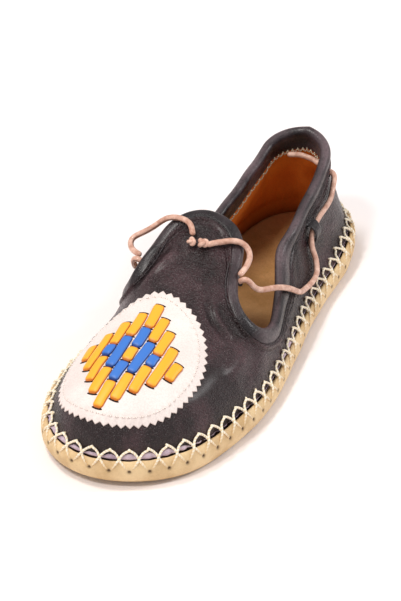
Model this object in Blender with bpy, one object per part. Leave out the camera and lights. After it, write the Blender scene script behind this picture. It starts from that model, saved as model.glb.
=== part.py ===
"""Turkish yemeni, the wearer's left shoe: a hand sewn leather slipper with a turned up sole.

Metres, +Z up. The toe points to -Y, the heel to +Y and the outer side of the foot to +X.
Every leather surface comes from one function, upper_point, which turns a place on the
flat pattern of the upper into a place on the last.
"""

import bpy
import numpy as np

MM = 0.001

# Driving sizes.
LENGTH = 265 * MM
SOLE_FLOOR = 3.5 * MM
SEAM_HEIGHT = 13.2 * MM
LEATHER = 1.8 * MM
GAP = 0.35 * MM
UPPER_INSET = 3.8 * MM
SOLE_WALL_INSET = UPPER_INSET - GAP
TUCK = SEAM_HEIGHT - SOLE_FLOOR - GAP
TOE_SPRING = 3.0 * MM
TOE_SPRING_REACH = 40 * MM
ARCH_LIFT = 1.2 * MM
ARCH_START = 108 * MM
ARCH_END = 186 * MM
BOX_MIDDLE_X = 2.87 * MM

# How finely the solids are faceted.
COLUMNS = 90
CURVE_SAMPLES = 1440
BEZIER_STEPS = 24
# Rows of the upper's wall: mm from the collar edge, then parts of the way on to the sole.
ROWS_AT_COLLAR = (0, 3.2, 6.4, 9.6)
ROWS_BELOW = (0.08, 0.16, 0.25, 0.34, 0.43, 0.53, 0.63, 0.73, 0.83, 0.92, 1)
# A column leaves the collar edge square to it for a while, and reaches the sole square to that.
COLUMN_START = 12 * MM
COLUMN_START_PART = 0.3
COLUMN_END_PART = 0.5
COLUMN_STEPS = 40
# Columns crowd together where the collar edge bends: mm of edge that one radian counts as.
BEND_WEIGHT = 14 * MM

# Widest outline of the sole: part of the length from the toe, outer and inner half width in mm.
OUTLINE = (
    (0.03, 21, 24.5),
    (0.10, 39, 38.5),
    (0.20, 48, 45),
    (0.32, 51.5, 45),
    (0.45, 48, 40),
    (0.58, 42, 36),
    (0.72, 37, 34),
    (0.85, 34, 32),
    (0.95, 23, 23),
)
TOE_TIP_X = -1
HEEL_TIP_X = 0

# The section lines of the upper run straight across between two poles, and fan out round
# the toe and the heel beyond them. A station is the distance from the toe along the line
# of poles, carried on round each end.
FRONT_POLE = 52 * MM
REAR_POLE = 231 * MM
FRONT_TURN = 50 * MM
REAR_TURN = 34 * MM

# Sections of the last, in mm: station, inward and upward start at the seam, outward run and
# drop of the top handle, distance of the top from the centre line, height of the top.
SECTIONS = (
    (2, 1, 22, 24, 0, 0, 43.7),
    (27, 1, 21, 24, 0, 0, 43.7),
    (52, 1, 20, 24, 0, 0, 43.7),
    (70, 1.5, 20, 26, 0, 0, 46.3),
    (90, 2, 22, 27, 0, 0, 49.5),
    (107, 2, 24, 28, 0, 0, 55),
    (124, 2.5, 19, 28, 0, 0, 61.5),
    (141, 3, 14, 24, 2, 1, 65.5),
    (158, 5, 12, 12, 9, 12, 55),
    (174, 7, 11, 4, 14, 20, 46),
    (190, 7.5, 11, 2.5, 16, 19.3, 48),
    (210, 7.5, 11, 2.5, 16, 18.3, 51.5),
    (231, 6.5, 12, 2.5, 17, 16.5, 56),
    (250, 4, 14, 2.5, 18, 15.5, 60),
    (265, 3, 14, 2.5, 18, 16, 62),
)
# The inner side of the forefoot is lower and less full than the outer side.
MEDIAL_RISE = 0.75
MEDIAL_CROWN = 0.7
MEDIAL_LEAN = 3 * MM
MEDIAL_END = 88 * MM
MEDIAL_FADE = 30 * MM
# Centre line of the last seen from above, in mm: distance from the toe, x.
CENTRE = (
    (30, -2),
    (52, -2.6),
    (84, -5),
    (105, -8),
    (124, -11),
    (140, -10.5),
    (156, -4.5),
    (172, 0.7),
    (190, 0.7),
    (210, -0.3),
    (231, -2),
)

# Cut edge of the collar on the flat pattern, in mm: distance across from the centre line,
# distance from the toe. It runs from the heel by the outer side and the tongue to the inner side.
COLLAR_EDGE = (
    (0, 247),
    (10.8, 242),
    (16.5, 231),
    (18.2, 211),
    (19.3, 191),
    (21.5, 174),
    (33, 160.5),
    (48, 149),
    (58.5, 137),
    (61, 122),
    (56, 110.5),
    (48, 103.5),
    (40, 103),
    (34, 107),
    (30.8, 114),
    (29.5, 124),
    (26.5, 134),
    (19, 142),
    (8, 145),
    (-3, 142.5),
    (-9.5, 136),
    (-14, 128),
    (-17, 119),
    (-20, 111),
    (-25, 106),
    (-32, 105.5),
    (-40, 110),
    (-46, 119),
    (-48.5, 131),
    (-45, 144),
    (-35, 158),
    (-22, 173),
    (-19.3, 191),
    (-18.2, 211),
    (-16.5, 231),
    (-10.8, 242),
)
# The rows of the table where the edge turns at the bottom of the two side openings, and the tip.
OUTER_BOTTOM_ROW = 11
TONGUE_TIP_ROW = 18
INNER_BOTTOM_ROW = 25

# Outline of the pinked patch on the flat pattern, in mm: distance from the toe, half width.
PATCH_OUTLINE = (
    (4.5, 0),
    (6, 10),
    (10.5, 20.5),
    (19.5, 30),
    (31, 35),
    (45, 36.8),
    (58, 35.7),
    (70, 31.6),
    (80, 25.2),
    (88, 16),
    (93.5, 0),
)
PATCH_CENTRE = (0, 50)
PATCH_TEETH = 48
PATCH_TOOTH = 1.6 * MM
PATCH_ROWS = 4
PATCH_THICKNESS = 1.1 * MM
PATCH_LIFT = 0.6 * MM

# Woven strips of the diamond, in mm: distance across to the middle, front end, rear end.
STRIP_WIDTH = 5.0 * MM
STRIP_THICKNESS = 1.2 * MM
STRIPS = (
    (-21.9, 40.5, 53),
    (-16.3, 33, 60.5),
    (-10.7, 25.8, 68.5),
    (-5.1, 18.5, 75.5),
    (0.5, 12, 83),
    (6.1, 18.5, 75.5),
    (11.7, 25.8, 68.5),
    (17.3, 33, 60.5),
    (22.9, 40.5, 53),
)

# Section of the collar binding, in mm: distance from the cut edge into the leather, height
# above the outer face of the leather. A rolled rim with a short outer and a wide inner leg.
BINDING_SECTION = (
    (5.2, 0.55),
    (5.2, 1.25),
    (2.0, 1.7),
    (-0.8, 1.0),
    (-1.9, -0.9),
    (-0.8, -2.9),
    (2.0, -3.5),
    (8.6, -3.1),
    (8.6, -2.4),
    (-0.5, -2.4),
    (-0.5, 0.55),
)

# Section of the turned up sole wall, in mm: distance inward from the widest outline, height.
SOLE_SECTION = (
    (16, 0),
    (5.2, 0),
    (2.3, 0.8),
    (0.7, 2.8),
    (0, 6),
    (0.2, 9.4),
    (0.9, 11.6),
    (1.5, 13.2),
    (2.3, 13.9),
    (3.0, 13.5),
    (3.35, 12.4),
    (3.35, 3.5),
    (16, 3.5),
)

# Section of the insole, in mm: distance inward from the widest outline, height.
INSOLE_SECTION = (
    (18, 3.85),
    (6.3, 3.85),
    (6.3, 5.3),
    (7.1, 5.9),
    (18, 5.9),
)


# Round leather lace. Each route is in mm on the pattern of the upper: across, distance from the
# toe, height of the lace's middle above the outer face of the leather.
LACE_RADIUS = 1.45 * MM
LACE_SIDES = 8
LACE_STEP = 5 * MM
OUTER_LACE = (
    (33.5, 119, 3.4),
    (39, 121, 2.4),
    (47.5, 129, 2.2),
    (53.5, 142, 3.8),
    (53.5, 154, 3.4),
    (50, 166, 2.2),
    (49.5, 178, 2.2),
    (49, 186.5, 2.2),
    (44.5, 190.5, 2.2),
    (38.5, 190.9, 2.2),
    (33.4, 194.4, 2.2),
    (31.8, 200, 2.2),
    (31.2, 206, 2.2),
    (32.6, 217, 2.2),
    (33, 225, 2.2),
    (29.8, 231.5, 2.2),
    (25.4, 234.5, 2.4),
)
INNER_LACE = (
    (-22.5, 112.5, 3.6),
    (-28, 114.5, 2.4),
    (-36, 123, 2.2),
    (-41.5, 136, 3.2),
    (-43, 148, 3.8),
    (-44.5, 164, 2.4),
    (-46.5, 178, 2.2),
    (-47, 187, 2.2),
    (-43.5, 191.5, 2.2),
    (-38.5, 191.2, 2.2),
    (-33.2, 194.6, 2.2),
    (-31.8, 200, 2.2),
    (-31.2, 206, 2.2),
    (-32.6, 217, 2.2),
    (-33, 225, 2.2),
    (-29.8, 231.5, 2.2),
    (-25.4, 234.5, 2.4),
)
OUTER_LOOP = (
    (11.4, 124.4, 2.3),
    (14.5, 127.5, 2.3),
    (19.5, 132, 3.0),
    (25.5, 134.8, 3.8),
    (30.3, 132.6, 3.9),
    (31.6, 126, 3.8),
    (30.4, 119.8, 3.6),
)
OUTER_KNOT = (8.6, 123.4, 2.8)
INNER_KNOT = (3.4, 122.0, 2.8)
KNOT_RADIUS = 2.2 * MM
KNOT_SIDES = 8
# Routes that leave the leather, in mm: x from the toe tip's axis, distance from the toe, height.
INNER_LOOP = (
    (-9.0, 125.5, 65.2),
    (-12.5, 129.6, 67.0),
    (-18.5, 131.5, 67.4),
    (-25.5, 131.5, 65.4),
    (-31, 130.5, 60.6),
    (-37, 127.8, 55.8),
    (-41, 124, 52.8),
    (-39, 119.5, 51.3),
    (-33, 115.8, 51.3),
)
HEEL_STRAP = (
    (-8.5, 238.6, 49.5),
    (-4.5, 240.6, 49.5),
    (0, 241.2, 49),
    (4.5, 240.2, 49),
    (8, 238.2, 49),
)

# Keepers, the small leather bridges over the lace on the quarters, in mm: half length along
# the lace, half width across it, height over the leather, thickness.
KEEPER_PLACE = (32.8, 196.5)
KEEPER_HALF_LENGTH = 3.2
KEEPER_HALF_WIDTH = 6.5
KEEPER_ARCH = 4.8
KEEPER_THICKNESS = 1.2
KEEPER_STEPS = 8


def spline(knots, values, at):
    """Natural cubic spline through the values, read at the given places."""
    x = np.asarray(knots, float)
    y = np.asarray(values, float)
    count = len(x)
    step = np.diff(x)
    matrix = np.zeros((count, count))
    right = np.zeros((count,) + y.shape[1:])
    matrix[0, 0] = 1
    matrix[-1, -1] = 1
    for i in range(1, count - 1):
        matrix[i, i - 1] = step[i - 1]
        matrix[i, i] = 2 * (step[i - 1] + step[i])
        matrix[i, i + 1] = step[i]
        right[i] = 6 * ((y[i + 1] - y[i]) / step[i] - (y[i] - y[i - 1]) / step[i - 1])
    bend = np.linalg.solve(matrix, right)
    at = np.clip(np.asarray(at, float), x[0], x[-1])
    i = np.clip(np.searchsorted(x, at) - 1, 0, count - 2)
    after = at - x[i]
    before = x[i + 1] - at
    width = step[i]
    if y.ndim > 1:
        after = after[..., None]
        before = before[..., None]
        width = width[..., None]
    curve = (bend[i] * before**3 + bend[i + 1] * after**3) / (6 * width)
    low = (y[i] / width - bend[i] * width / 6) * before
    high = (y[i + 1] / width - bend[i + 1] * width / 6) * after
    return curve + low + high


def closed_curve(points, count):
    """Smooth closed curve through the points, as evenly stepped samples from the first point."""
    points = np.asarray(points, float)
    overlap = 4
    wrapped = np.concatenate([points[-overlap:], points, points[:overlap]])
    lengths = np.linalg.norm(np.diff(wrapped, axis=0), axis=1)
    knots = np.concatenate([[0], np.cumsum(lengths)])
    at = np.linspace(knots[overlap], knots[overlap + len(points)], count, endpoint=False)
    return spline(knots, wrapped, at)


def even_steps(curve, count, closed=False):
    """The same curve, sampled again at even distances."""
    if closed:
        curve = np.concatenate([curve, curve[:1]])
    lengths = np.linalg.norm(np.diff(curve, axis=0), axis=1)
    run = np.concatenate([[0], np.cumsum(lengths)])
    at = np.linspace(0, run[-1], count, endpoint=not closed)
    return np.stack([np.interp(at, run, curve[:, k]) for k in range(curve.shape[1])], axis=1)


def sole_outline(inset, count):
    """Outline of the sole moved inward, from the heel by the outer side to the toe and back."""
    outer = [(side, part * LENGTH / MM) for part, side, _ in reversed(OUTLINE)]
    inner = [(-side, part * LENGTH / MM) for part, _, side in OUTLINE]
    points = [(HEEL_TIP_X, LENGTH / MM)] + outer + [(TOE_TIP_X, 0)] + inner
    curve = closed_curve(np.array(points) * MM, CURVE_SAMPLES)
    curve = even_steps(curve, count, closed=True)
    tangent = np.roll(curve, -1, axis=0) - np.roll(curve, 1, axis=0)
    outward = np.stack([-tangent[:, 1], tangent[:, 0]], axis=1)
    outward /= np.linalg.norm(outward, axis=1)[:, None]
    return curve - outward * inset


def centre_x(along):
    rows = np.array(CENTRE, float) * MM
    return spline(rows[:, 0], rows[:, 1], along)


def section_lines(across, along):
    """Foot, outward direction, distance out and station of the section line of each place."""
    foot = np.clip(along, FRONT_POLE, REAR_POLE)
    side = np.where(np.abs(across) < 1e-9, 1e-9, across)
    beyond = along - foot
    distance = np.hypot(side, beyond)
    out = np.stack([side / distance, beyond / distance], axis=-1)
    angle = np.arctan2(out[..., 1], np.abs(out[..., 0])) / (np.pi / 2)
    station = foot + np.where(angle < 0, FRONT_TURN, REAR_TURN) * angle
    return foot, out, distance, station


def rim_points(foot, out):
    """Where each section line meets the outer face of the upper inside the sole wall."""
    ring = sole_outline(UPPER_INSET, CURVE_SAMPLES)
    base = np.stack([centre_x(foot), foot], axis=-1)
    rim = np.empty_like(base)
    ring_side = np.sign(ring[:, 0] - centre_x(ring[:, 1]))
    for side in (1, -1):
        half = ring[ring_side == side]
        half = half[np.argsort(half[:, 1])]
        here = (out[..., 0] * side > 0) & (out[..., 1] == 0)
        rim[here, 0] = np.interp(foot, half[:, 1], half[:, 0])[here]
        rim[here, 1] = foot[here]
    for pole, end in ((FRONT_POLE, -1), (REAR_POLE, 1)):
        centre = np.array([centre_x(pole), pole])
        spoke = ring - centre
        turn = np.arctan2(spoke[:, 0], spoke[:, 1] * end)
        wanted = np.arctan2(out[..., 0], out[..., 1] * end)
        radius = np.interp(wanted, turn, np.hypot(spoke[:, 0], spoke[:, 1]), period=2 * np.pi)
        here = out[..., 1] * end > 0
        rim[here] = (centre + out * radius[..., None])[here]
    return base, rim


def section_handles(foot, out, station):
    """The four handles of each section curve, from the seam up to the top, and the top's reach."""
    base, rim = rim_points(foot, out)
    table = np.array(SECTIONS, float) * MM
    row = spline(table[:, 0], table[:, 1:5], station)
    reach = np.maximum(spline(table[:, 0], table[:, 5], station), 0)
    reach = np.where(station > 128 * MM, reach, 0)
    crown = table[table[:, 0] >= FRONT_POLE]
    height = spline(crown[:, 0], crown[:, 6], np.maximum(station, FRONT_POLE))
    ahead = spline(crown[:, 0], crown[:, 6], FRONT_POLE + MM)
    slope = (ahead - crown[0, 6]) / MM
    medial = np.clip((MEDIAL_END - station) / MEDIAL_FADE + 1, 0, 1)
    medial = medial * np.clip(-out[..., 0] / 0.8, 0, 1)
    medial = medial * medial * (3 - 2 * medial)
    inward = row[..., 0] + MEDIAL_LEAN * medial
    upward = row[..., 1] * (1 + (MEDIAL_RISE - 1) * medial)
    run = row[..., 2] * (1 + (MEDIAL_CROWN - 1) * medial)
    drop = row[..., 3] + run * slope * np.maximum(-out[..., 1], 0)
    flat = np.concatenate([out, np.zeros(out.shape[:-1] + (1,))], axis=-1)
    up = np.array([0.0, 0.0, 1.0])
    seam = np.concatenate([rim, np.full(rim.shape[:-1] + (1,), SEAM_HEIGHT)], axis=-1)
    start = seam - flat * inward[..., None] + up * upward[..., None]
    top = np.concatenate([base, height[..., None]], axis=-1) + flat * reach[..., None]
    end = top + flat * run[..., None] - up * drop[..., None]
    return seam, start, end, top, reach


def bezier(seam, start, end, top, t):
    t = t[..., None]
    s = 1 - t
    return seam * s**3 + start * 3 * s * s * t + end * 3 * s * t * t + top * t**3


def section_lengths(handles, shape):
    """Lengths along each section curve, measured from its top down to the seam."""
    steps = np.linspace(1, 0, BEZIER_STEPS + 1)
    points = np.stack([bezier(*handles, np.full(shape, t)) for t in steps], axis=0)
    pieces = np.linalg.norm(np.diff(points, axis=0), axis=-1)
    return np.concatenate([np.zeros((1,) + shape), np.cumsum(pieces, axis=0)], axis=0)


def lift(y):
    """Height of the underside above the floor: the toe spring and the arch."""
    toe = np.clip((TOE_SPRING_REACH - y) / TOE_SPRING_REACH, 0, 1) ** 2 * TOE_SPRING
    waist = np.clip((y - ARCH_START) / (ARCH_END - ARCH_START), 0, 1)
    return toe + ARCH_LIFT * np.sin(np.pi * waist) ** 2


def upper_point(across, along):
    """Outer face of the upper at a place on the flat pattern."""
    across = np.asarray(across, float)
    along = np.asarray(along, float)
    foot, out, distance, station = section_lines(across, along)
    *handles, reach = section_handles(foot, out, station)
    run = section_lengths(handles, distance.shape)
    wanted = distance - reach
    i = np.clip((run[1:] < wanted).sum(axis=0), 0, BEZIER_STEPS - 1)
    low = np.take_along_axis(run, i[None], axis=0)[0]
    high = np.take_along_axis(run, i[None] + 1, axis=0)[0]
    below = np.maximum(wanted - run[-1], 0)
    part = np.where(below > 0, 1, (wanted - low) / (high - low))
    point = bezier(*handles, 1 - (i + part) / BEZIER_STEPS)
    point[..., 2] += lift(point[..., 1]) - below
    return point


def leather_point(across, along, height):
    """A place on the pattern, at a height above the outer face of the upper."""
    step = 0.4 * MM
    side = upper_point(across + step, along) - upper_point(across - step, along)
    ahead = upper_point(across, along + step) - upper_point(across, along - step)
    normal = np.cross(side, ahead)
    normal /= np.linalg.norm(normal, axis=-1)[..., None]
    return upper_point(across, along) + normal * np.asarray(height)[..., None]


def rim_on_pattern(station, side):
    """Place on the pattern of the lower edge of the upper, at a station on one side."""
    foot = np.clip(station, FRONT_POLE, REAR_POLE)
    turn = np.where(station < FRONT_POLE, (station - FRONT_POLE) / FRONT_TURN, 0)
    turn = np.where(station > REAR_POLE, (station - REAR_POLE) / REAR_TURN, turn)
    angle = turn * np.pi / 2
    flat = np.abs(turn) < 1e-12
    out = np.stack([side * np.cos(angle), np.where(flat, 0, np.sin(angle))], axis=-1)
    *handles, reach = section_handles(foot, out, station)
    distance = reach + section_lengths(handles, station.shape)[-1] + TUCK
    rim = np.stack([out[..., 0] * distance, foot + out[..., 1] * distance], axis=-1)
    return rim, out


def collar_curve():
    """Dense samples of the collar's cut edge, and the sample at each row of its table."""
    curve = closed_curve(np.array(COLLAR_EDGE, float) * MM, CURVE_SAMPLES)
    rows = [np.argmin(np.linalg.norm(curve - np.array(row) * MM, axis=1)) for row in COLLAR_EDGE]
    return curve, rows


def side_columns(curve, bottom, side, count):
    """Matching places on the collar edge and on the lower edge, from the heel to the toe."""
    chords = np.diff(curve, axis=0)
    lengths = np.linalg.norm(chords, axis=1)
    run = np.concatenate([[0], np.cumsum(lengths)])
    bend = np.abs(np.diff(np.unwrap(np.arctan2(chords[:, 1], chords[:, 0]))))
    weighted = run.copy()
    weighted[2:] += np.cumsum(bend) * BEND_WEIGHT
    at = np.interp(np.linspace(0, weighted[-1], count), weighted, run)
    edge = np.stack([np.interp(at, run, curve[:, k]) for k in (0, 1)], axis=1)
    station = section_lines(edge[:, 0], edge[:, 1])[3]
    station[0] = REAR_POLE + REAR_TURN
    turn = run[bottom] / run[-1]
    part = np.clip((at / run[-1] - turn) / (1 - turn), 0, 1)
    toe = FRONT_POLE - FRONT_TURN
    start = curve[bottom, 1]
    station = np.where(part > 0, start + (toe - start) * part, station)
    station = np.minimum.accumulate(station)
    return edge, *rim_on_pattern(station, side)


def upper_columns():
    """Collar edge and lower edge of the upper, column by column, and their square directions."""
    curve, rows = collar_curve()
    tip = rows[TONGUE_TIP_ROW]
    half = COLUMNS // 2 + 1
    outer = side_columns(curve[: tip + 1], rows[OUTER_BOTTOM_ROW], 1, half)
    inner_side = np.concatenate([curve[tip:], curve[:1]])[::-1]
    inner_bottom = len(inner_side) - 1 - (rows[INNER_BOTTOM_ROW] - tip)
    inner = side_columns(inner_side, inner_bottom, -1, half)
    edge, rim, out = (np.concatenate([o, i[-2:0:-1]]) for o, i in zip(outer, inner))
    tangent = np.roll(edge, -1, axis=0) - np.roll(edge, 1, axis=0)
    inward = np.stack([-tangent[:, 1], tangent[:, 0]], axis=1)
    inward /= np.linalg.norm(inward, axis=1)[:, None]
    return edge, rim, inward, out


def wall_pattern():
    """Places on the pattern of the upper's wall: rows from the sole to the collar edge."""
    edge, rim, inward, out = upper_columns()
    span = np.linalg.norm(rim - edge, axis=1)[:, None]
    start = edge + inward * np.minimum(COLUMN_START, span * COLUMN_START_PART)
    end = rim - out * span * COLUMN_END_PART
    steps = np.linspace(0, 1, COLUMN_STEPS + 1)
    paths = np.stack([bezier(edge, start, end, rim, np.full(len(edge), t)) for t in steps], axis=1)
    columns = []
    for path in paths:
        lengths = np.linalg.norm(np.diff(path, axis=0), axis=1)
        run = np.concatenate([[0], np.cumsum(lengths)])
        near = np.array(ROWS_AT_COLLAR) * MM
        below = near[-1] + (run[-1] - near[-1]) * np.array(ROWS_BELOW)
        at = np.concatenate([near, below])[::-1]
        columns.append(np.stack([np.interp(at, run, path[:, k]) for k in (0, 1)], axis=1))
    return np.stack(columns, axis=1)


def material(name, colour, roughness):
    """Plain leather or cord colour, from an sRGB hex value."""
    srgb = np.array([int(colour[i : i + 2], 16) / 255 for i in (1, 3, 5)])
    linear = np.where(srgb <= 0.04045, srgb / 12.92, ((srgb + 0.055) / 1.055) ** 2.4)
    made = bpy.data.materials.new(name)
    made.use_nodes = True
    shader = made.node_tree.nodes["Principled BSDF"]
    shader.inputs["Base Color"].default_value = (*linear, 1)
    shader.inputs["Roughness"].default_value = roughness
    shader.inputs["Metallic"].default_value = 0
    return made


def add_solid(name, points, faces, finish):
    """One named object from points in toe based coordinates."""
    points = np.asarray(points, float).reshape(-1, 3)
    placed = points - np.array([BOX_MIDDLE_X, LENGTH / 2, 0])
    mesh = bpy.data.meshes.new(name)
    mesh.from_pydata(placed.tolist(), [], faces)
    mesh.validate()
    mesh.materials.append(finish)
    mesh.shade_smooth()
    mesh.set_sharp_from_angle(angle=np.radians(40))
    made = bpy.data.objects.new(name, mesh)
    bpy.context.scene.collection.objects.link(made)
    return made


def ring_faces(rows, columns, close_rows):
    """Four sided faces between rings of points, each ring closed on itself."""
    faces = []
    last = rows if close_rows else rows - 1
    for r in range(last):
        for c in range(columns):
            a = r * columns + c
            b = r * columns + (c + 1) % columns
            above = (r + 1) % rows * columns
            faces.append((a, above + c, above + (c + 1) % columns, b))
    return faces


def cap_faces(start, columns, upward):
    """Faces across a ring of points, each joining a place with the one on the other side."""
    faces = []
    for c in range(columns // 2):
        a = start + c
        b = start + c + 1
        far = start + (columns - c) % columns
        near = start + columns - c - 1
        face = [a, b, near, far] if c and c < columns // 2 - 1 else None
        if c == 0:
            face = [a, b, near]
        elif c == columns // 2 - 1:
            face = [a, b, far]
        faces.append(tuple(reversed(face) if upward else face))
    return faces


def make_swept_sole(name, section, finish):
    """A solid swept round the outline of the sole and closed across its middle."""
    rings = []
    for inset, height in section:
        ring = sole_outline(inset * MM, COLUMNS)
        z = height * MM + lift(ring[:, 1])
        rings.append(np.column_stack([ring, z]))
    faces = ring_faces(len(section), COLUMNS, False)
    faces += cap_faces(0, COLUMNS, False)
    faces += cap_faces((len(section) - 1) * COLUMNS, COLUMNS, True)
    return add_solid(name, np.concatenate(rings), faces, finish)


def make_upper(finish):
    """Vamp with its tongue and the quarters: one wall, open at the collar and underneath."""
    pattern = wall_pattern()
    outside = leather_point(pattern[..., 0], pattern[..., 1], np.zeros(pattern.shape[:-1]))
    inside = leather_point(pattern[..., 0], pattern[..., 1], np.full(pattern.shape[:-1], -LEATHER))
    rings = np.concatenate([outside, inside[::-1]])
    return add_solid("upper", rings, ring_faces(len(rings), COLUMNS, True), finish)



def make_binding(finish):
    """Rolled binding that straddles the cut edge of the collar all the way round."""
    edge, _, inward, _ = upper_columns()
    rings = []
    for depth, height in BINDING_SECTION:
        place = edge + inward * depth * MM
        rings.append(leather_point(place[:, 0], place[:, 1], np.full(COLUMNS, height * MM)))
    rings = np.stack(rings)
    return add_solid("collar_binding", rings, ring_faces(len(rings), COLUMNS, True), finish)


def patch_outline(columns):
    """Pinked outline of the patch on the pattern, as evenly stepped teeth."""
    rows = np.array(PATCH_OUTLINE, float)
    outer = [(half, along) for along, half in rows[::-1]]
    inner = [(-half, along) for along, half in rows[1:-1]]
    curve = closed_curve(np.array(outer + inner) * MM, CURVE_SAMPLES)
    ring = even_steps(curve, columns, closed=True)
    tangent = np.roll(ring, -1, axis=0) - np.roll(ring, 1, axis=0)
    outward = np.stack([-tangent[:, 1], tangent[:, 0]], axis=1)
    outward /= np.linalg.norm(outward, axis=1)[:, None]
    notch = np.where(np.arange(columns) % 2 == 0, 0, PATCH_TOOTH)
    return ring - outward * notch[:, None]


def make_patch(finish):
    """Pinked leather patch, which follows the vamp just above its face."""
    columns = PATCH_TEETH * 2
    ring = patch_outline(columns)
    centre = np.array(PATCH_CENTRE, float) * MM
    part = np.linspace(1, 0, PATCH_ROWS + 1)[:-1]
    sheets = []
    for height in (PATCH_LIFT, PATCH_LIFT + PATCH_THICKNESS):
        pattern = np.stack([centre + (ring - centre) * p for p in part])
        heights = np.full(pattern.shape[:-1], height)
        sheet = leather_point(pattern[..., 0], pattern[..., 1], heights).reshape(-1, 3)
        middle = leather_point(centre[:1], centre[1:], np.array([height]))
        sheets.append((sheet, middle))
    low = len(sheets[0][0])
    points = np.concatenate([sheets[0][0], sheets[1][0], sheets[0][1], sheets[1][1]])
    faces = []
    for r in range(PATCH_ROWS - 1):
        for c in range(columns):
            a = r * columns + c
            b = r * columns + (c + 1) % columns
            faces.append((a, b, b + columns, a + columns))
            faces.append((low + a, low + a + columns, low + b + columns, low + b))
    inmost = (PATCH_ROWS - 1) * columns
    for c in range(columns):
        a = inmost + c
        b = inmost + (c + 1) % columns
        faces.append((a, b, 2 * low))
        faces.append((low + a, 2 * low + 1, low + b))
        faces.append((c, low + c, low + (c + 1) % columns, (c + 1) % columns))
    return add_solid("vamp_patch", points, faces, finish)


def make_strip(number, across, front, rear, finish):
    """One flat strip of the woven diamond, laid on the patch."""
    length = (rear - front) * MM
    columns = max(3, round(length / (7 * MM)))
    along = np.linspace(front, rear, columns + 1) * MM
    base = PATCH_LIFT + PATCH_THICKNESS + GAP
    corners = (
        (-0.5, base),
        (0.5, base),
        (0.5, base + STRIP_THICKNESS * 0.5),
        (0.3, base + STRIP_THICKNESS),
        (-0.3, base + STRIP_THICKNESS),
        (-0.5, base + STRIP_THICKNESS * 0.5),
    )
    points = []
    for y in along:
        for side, height in corners:
            place = across * MM + side * STRIP_WIDTH
            points.append(leather_point(np.array([place]), np.array([y]), np.array([height]))[0])
    sides = len(corners)
    faces = [tuple(range(sides)), tuple(reversed(range(columns * sides, (columns + 1) * sides)))]
    for r in range(columns):
        for c in range(sides):
            a = r * sides + c
            b = r * sides + (c + 1) % sides
            faces.append((b, a, a + sides, b + sides))
    return add_solid(f"woven_strip_{number:02d}", points, faces, finish)


def smooth_route(points):
    """Evenly stepped places on a smooth curve through the points of a route."""
    points = np.asarray(points, float) * MM
    run = np.concatenate([[0], np.cumsum(np.linalg.norm(np.diff(points, axis=0), axis=1))])
    curve = spline(run, points, np.linspace(0, run[-1], CURVE_SAMPLES))
    return even_steps(curve, max(5, round(run[-1] / LACE_STEP)) + 1)


def lace_route(rows):
    route = smooth_route(rows)
    return leather_point(route[:, 0], route[:, 1], route[:, 2])


def make_lace(name, route, finish):
    """A closed tube of lace along a route."""
    tangent = np.gradient(route, axis=0)
    tangent /= np.linalg.norm(tangent, axis=1)[:, None]
    side = np.cross(tangent[0], [0.0, 0.0, 1.0])
    turns = np.linspace(0, 2 * np.pi, LACE_SIDES, endpoint=False)
    rings = []
    for place, along in zip(route, tangent):
        side = side - along * np.dot(side, along)
        side /= np.linalg.norm(side)
        other = np.cross(along, side)
        rings += [place + LACE_RADIUS * (np.cos(t) * side + np.sin(t) * other) for t in turns]
    last = (len(route) - 1) * LACE_SIDES
    faces = [tuple(reversed(range(LACE_SIDES))), tuple(range(last, last + LACE_SIDES))]
    for r in range(len(route) - 1):
        for c in range(LACE_SIDES):
            a = r * LACE_SIDES + c
            b = r * LACE_SIDES + (c + 1) % LACE_SIDES
            faces.append((a, b, b + LACE_SIDES, a + LACE_SIDES))
    return add_solid(name, np.array(rings), faces, finish)


def make_cord(name, route, finish):
    """A free stretch of lace: a bevelled curve with closed ends."""
    data = bpy.data.curves.new(name, "CURVE")
    data.dimensions = "3D"
    data.bevel_depth = LACE_RADIUS
    data.bevel_resolution = 2
    data.use_fill_caps = True
    line = data.splines.new("POLY")
    line.points.add(len(route) - 1)
    for point, place in zip(line.points, route - np.array([BOX_MIDDLE_X, LENGTH / 2, 0])):
        point.co = (*place, 1)
    data.materials.append(finish)
    made = bpy.data.objects.new(name, data)
    bpy.context.scene.collection.objects.link(made)
    return made


def make_knot(name, spot, finish):
    """The knot in which a loop of lace ends, as a rounded bead on the tongue."""
    centre = leather_point(*(np.array(spot, float)[:, None] * MM))[0]
    points = [centre - np.array([0, 0, KNOT_RADIUS])]
    for level in np.radians((-45, 0, 45)):
        for turn in np.linspace(0, 2 * np.pi, KNOT_SIDES, endpoint=False):
            way = (np.cos(level) * np.cos(turn), np.cos(level) * np.sin(turn), np.sin(level))
            points.append(centre + KNOT_RADIUS * np.array(way))
    points.append(centre + np.array([0, 0, KNOT_RADIUS]))
    top = len(points) - 1
    faces = []
    for c in range(KNOT_SIDES):
        a = 1 + c
        b = 1 + (c + 1) % KNOT_SIDES
        faces.append((0, b, a))
        for row in (0, KNOT_SIDES):
            faces.append((a + row, b + row, b + row + KNOT_SIDES, a + row + KNOT_SIDES))
        faces.append((a + 2 * KNOT_SIDES, b + 2 * KNOT_SIDES, top))
    return add_solid(name, points, faces, finish)


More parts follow.
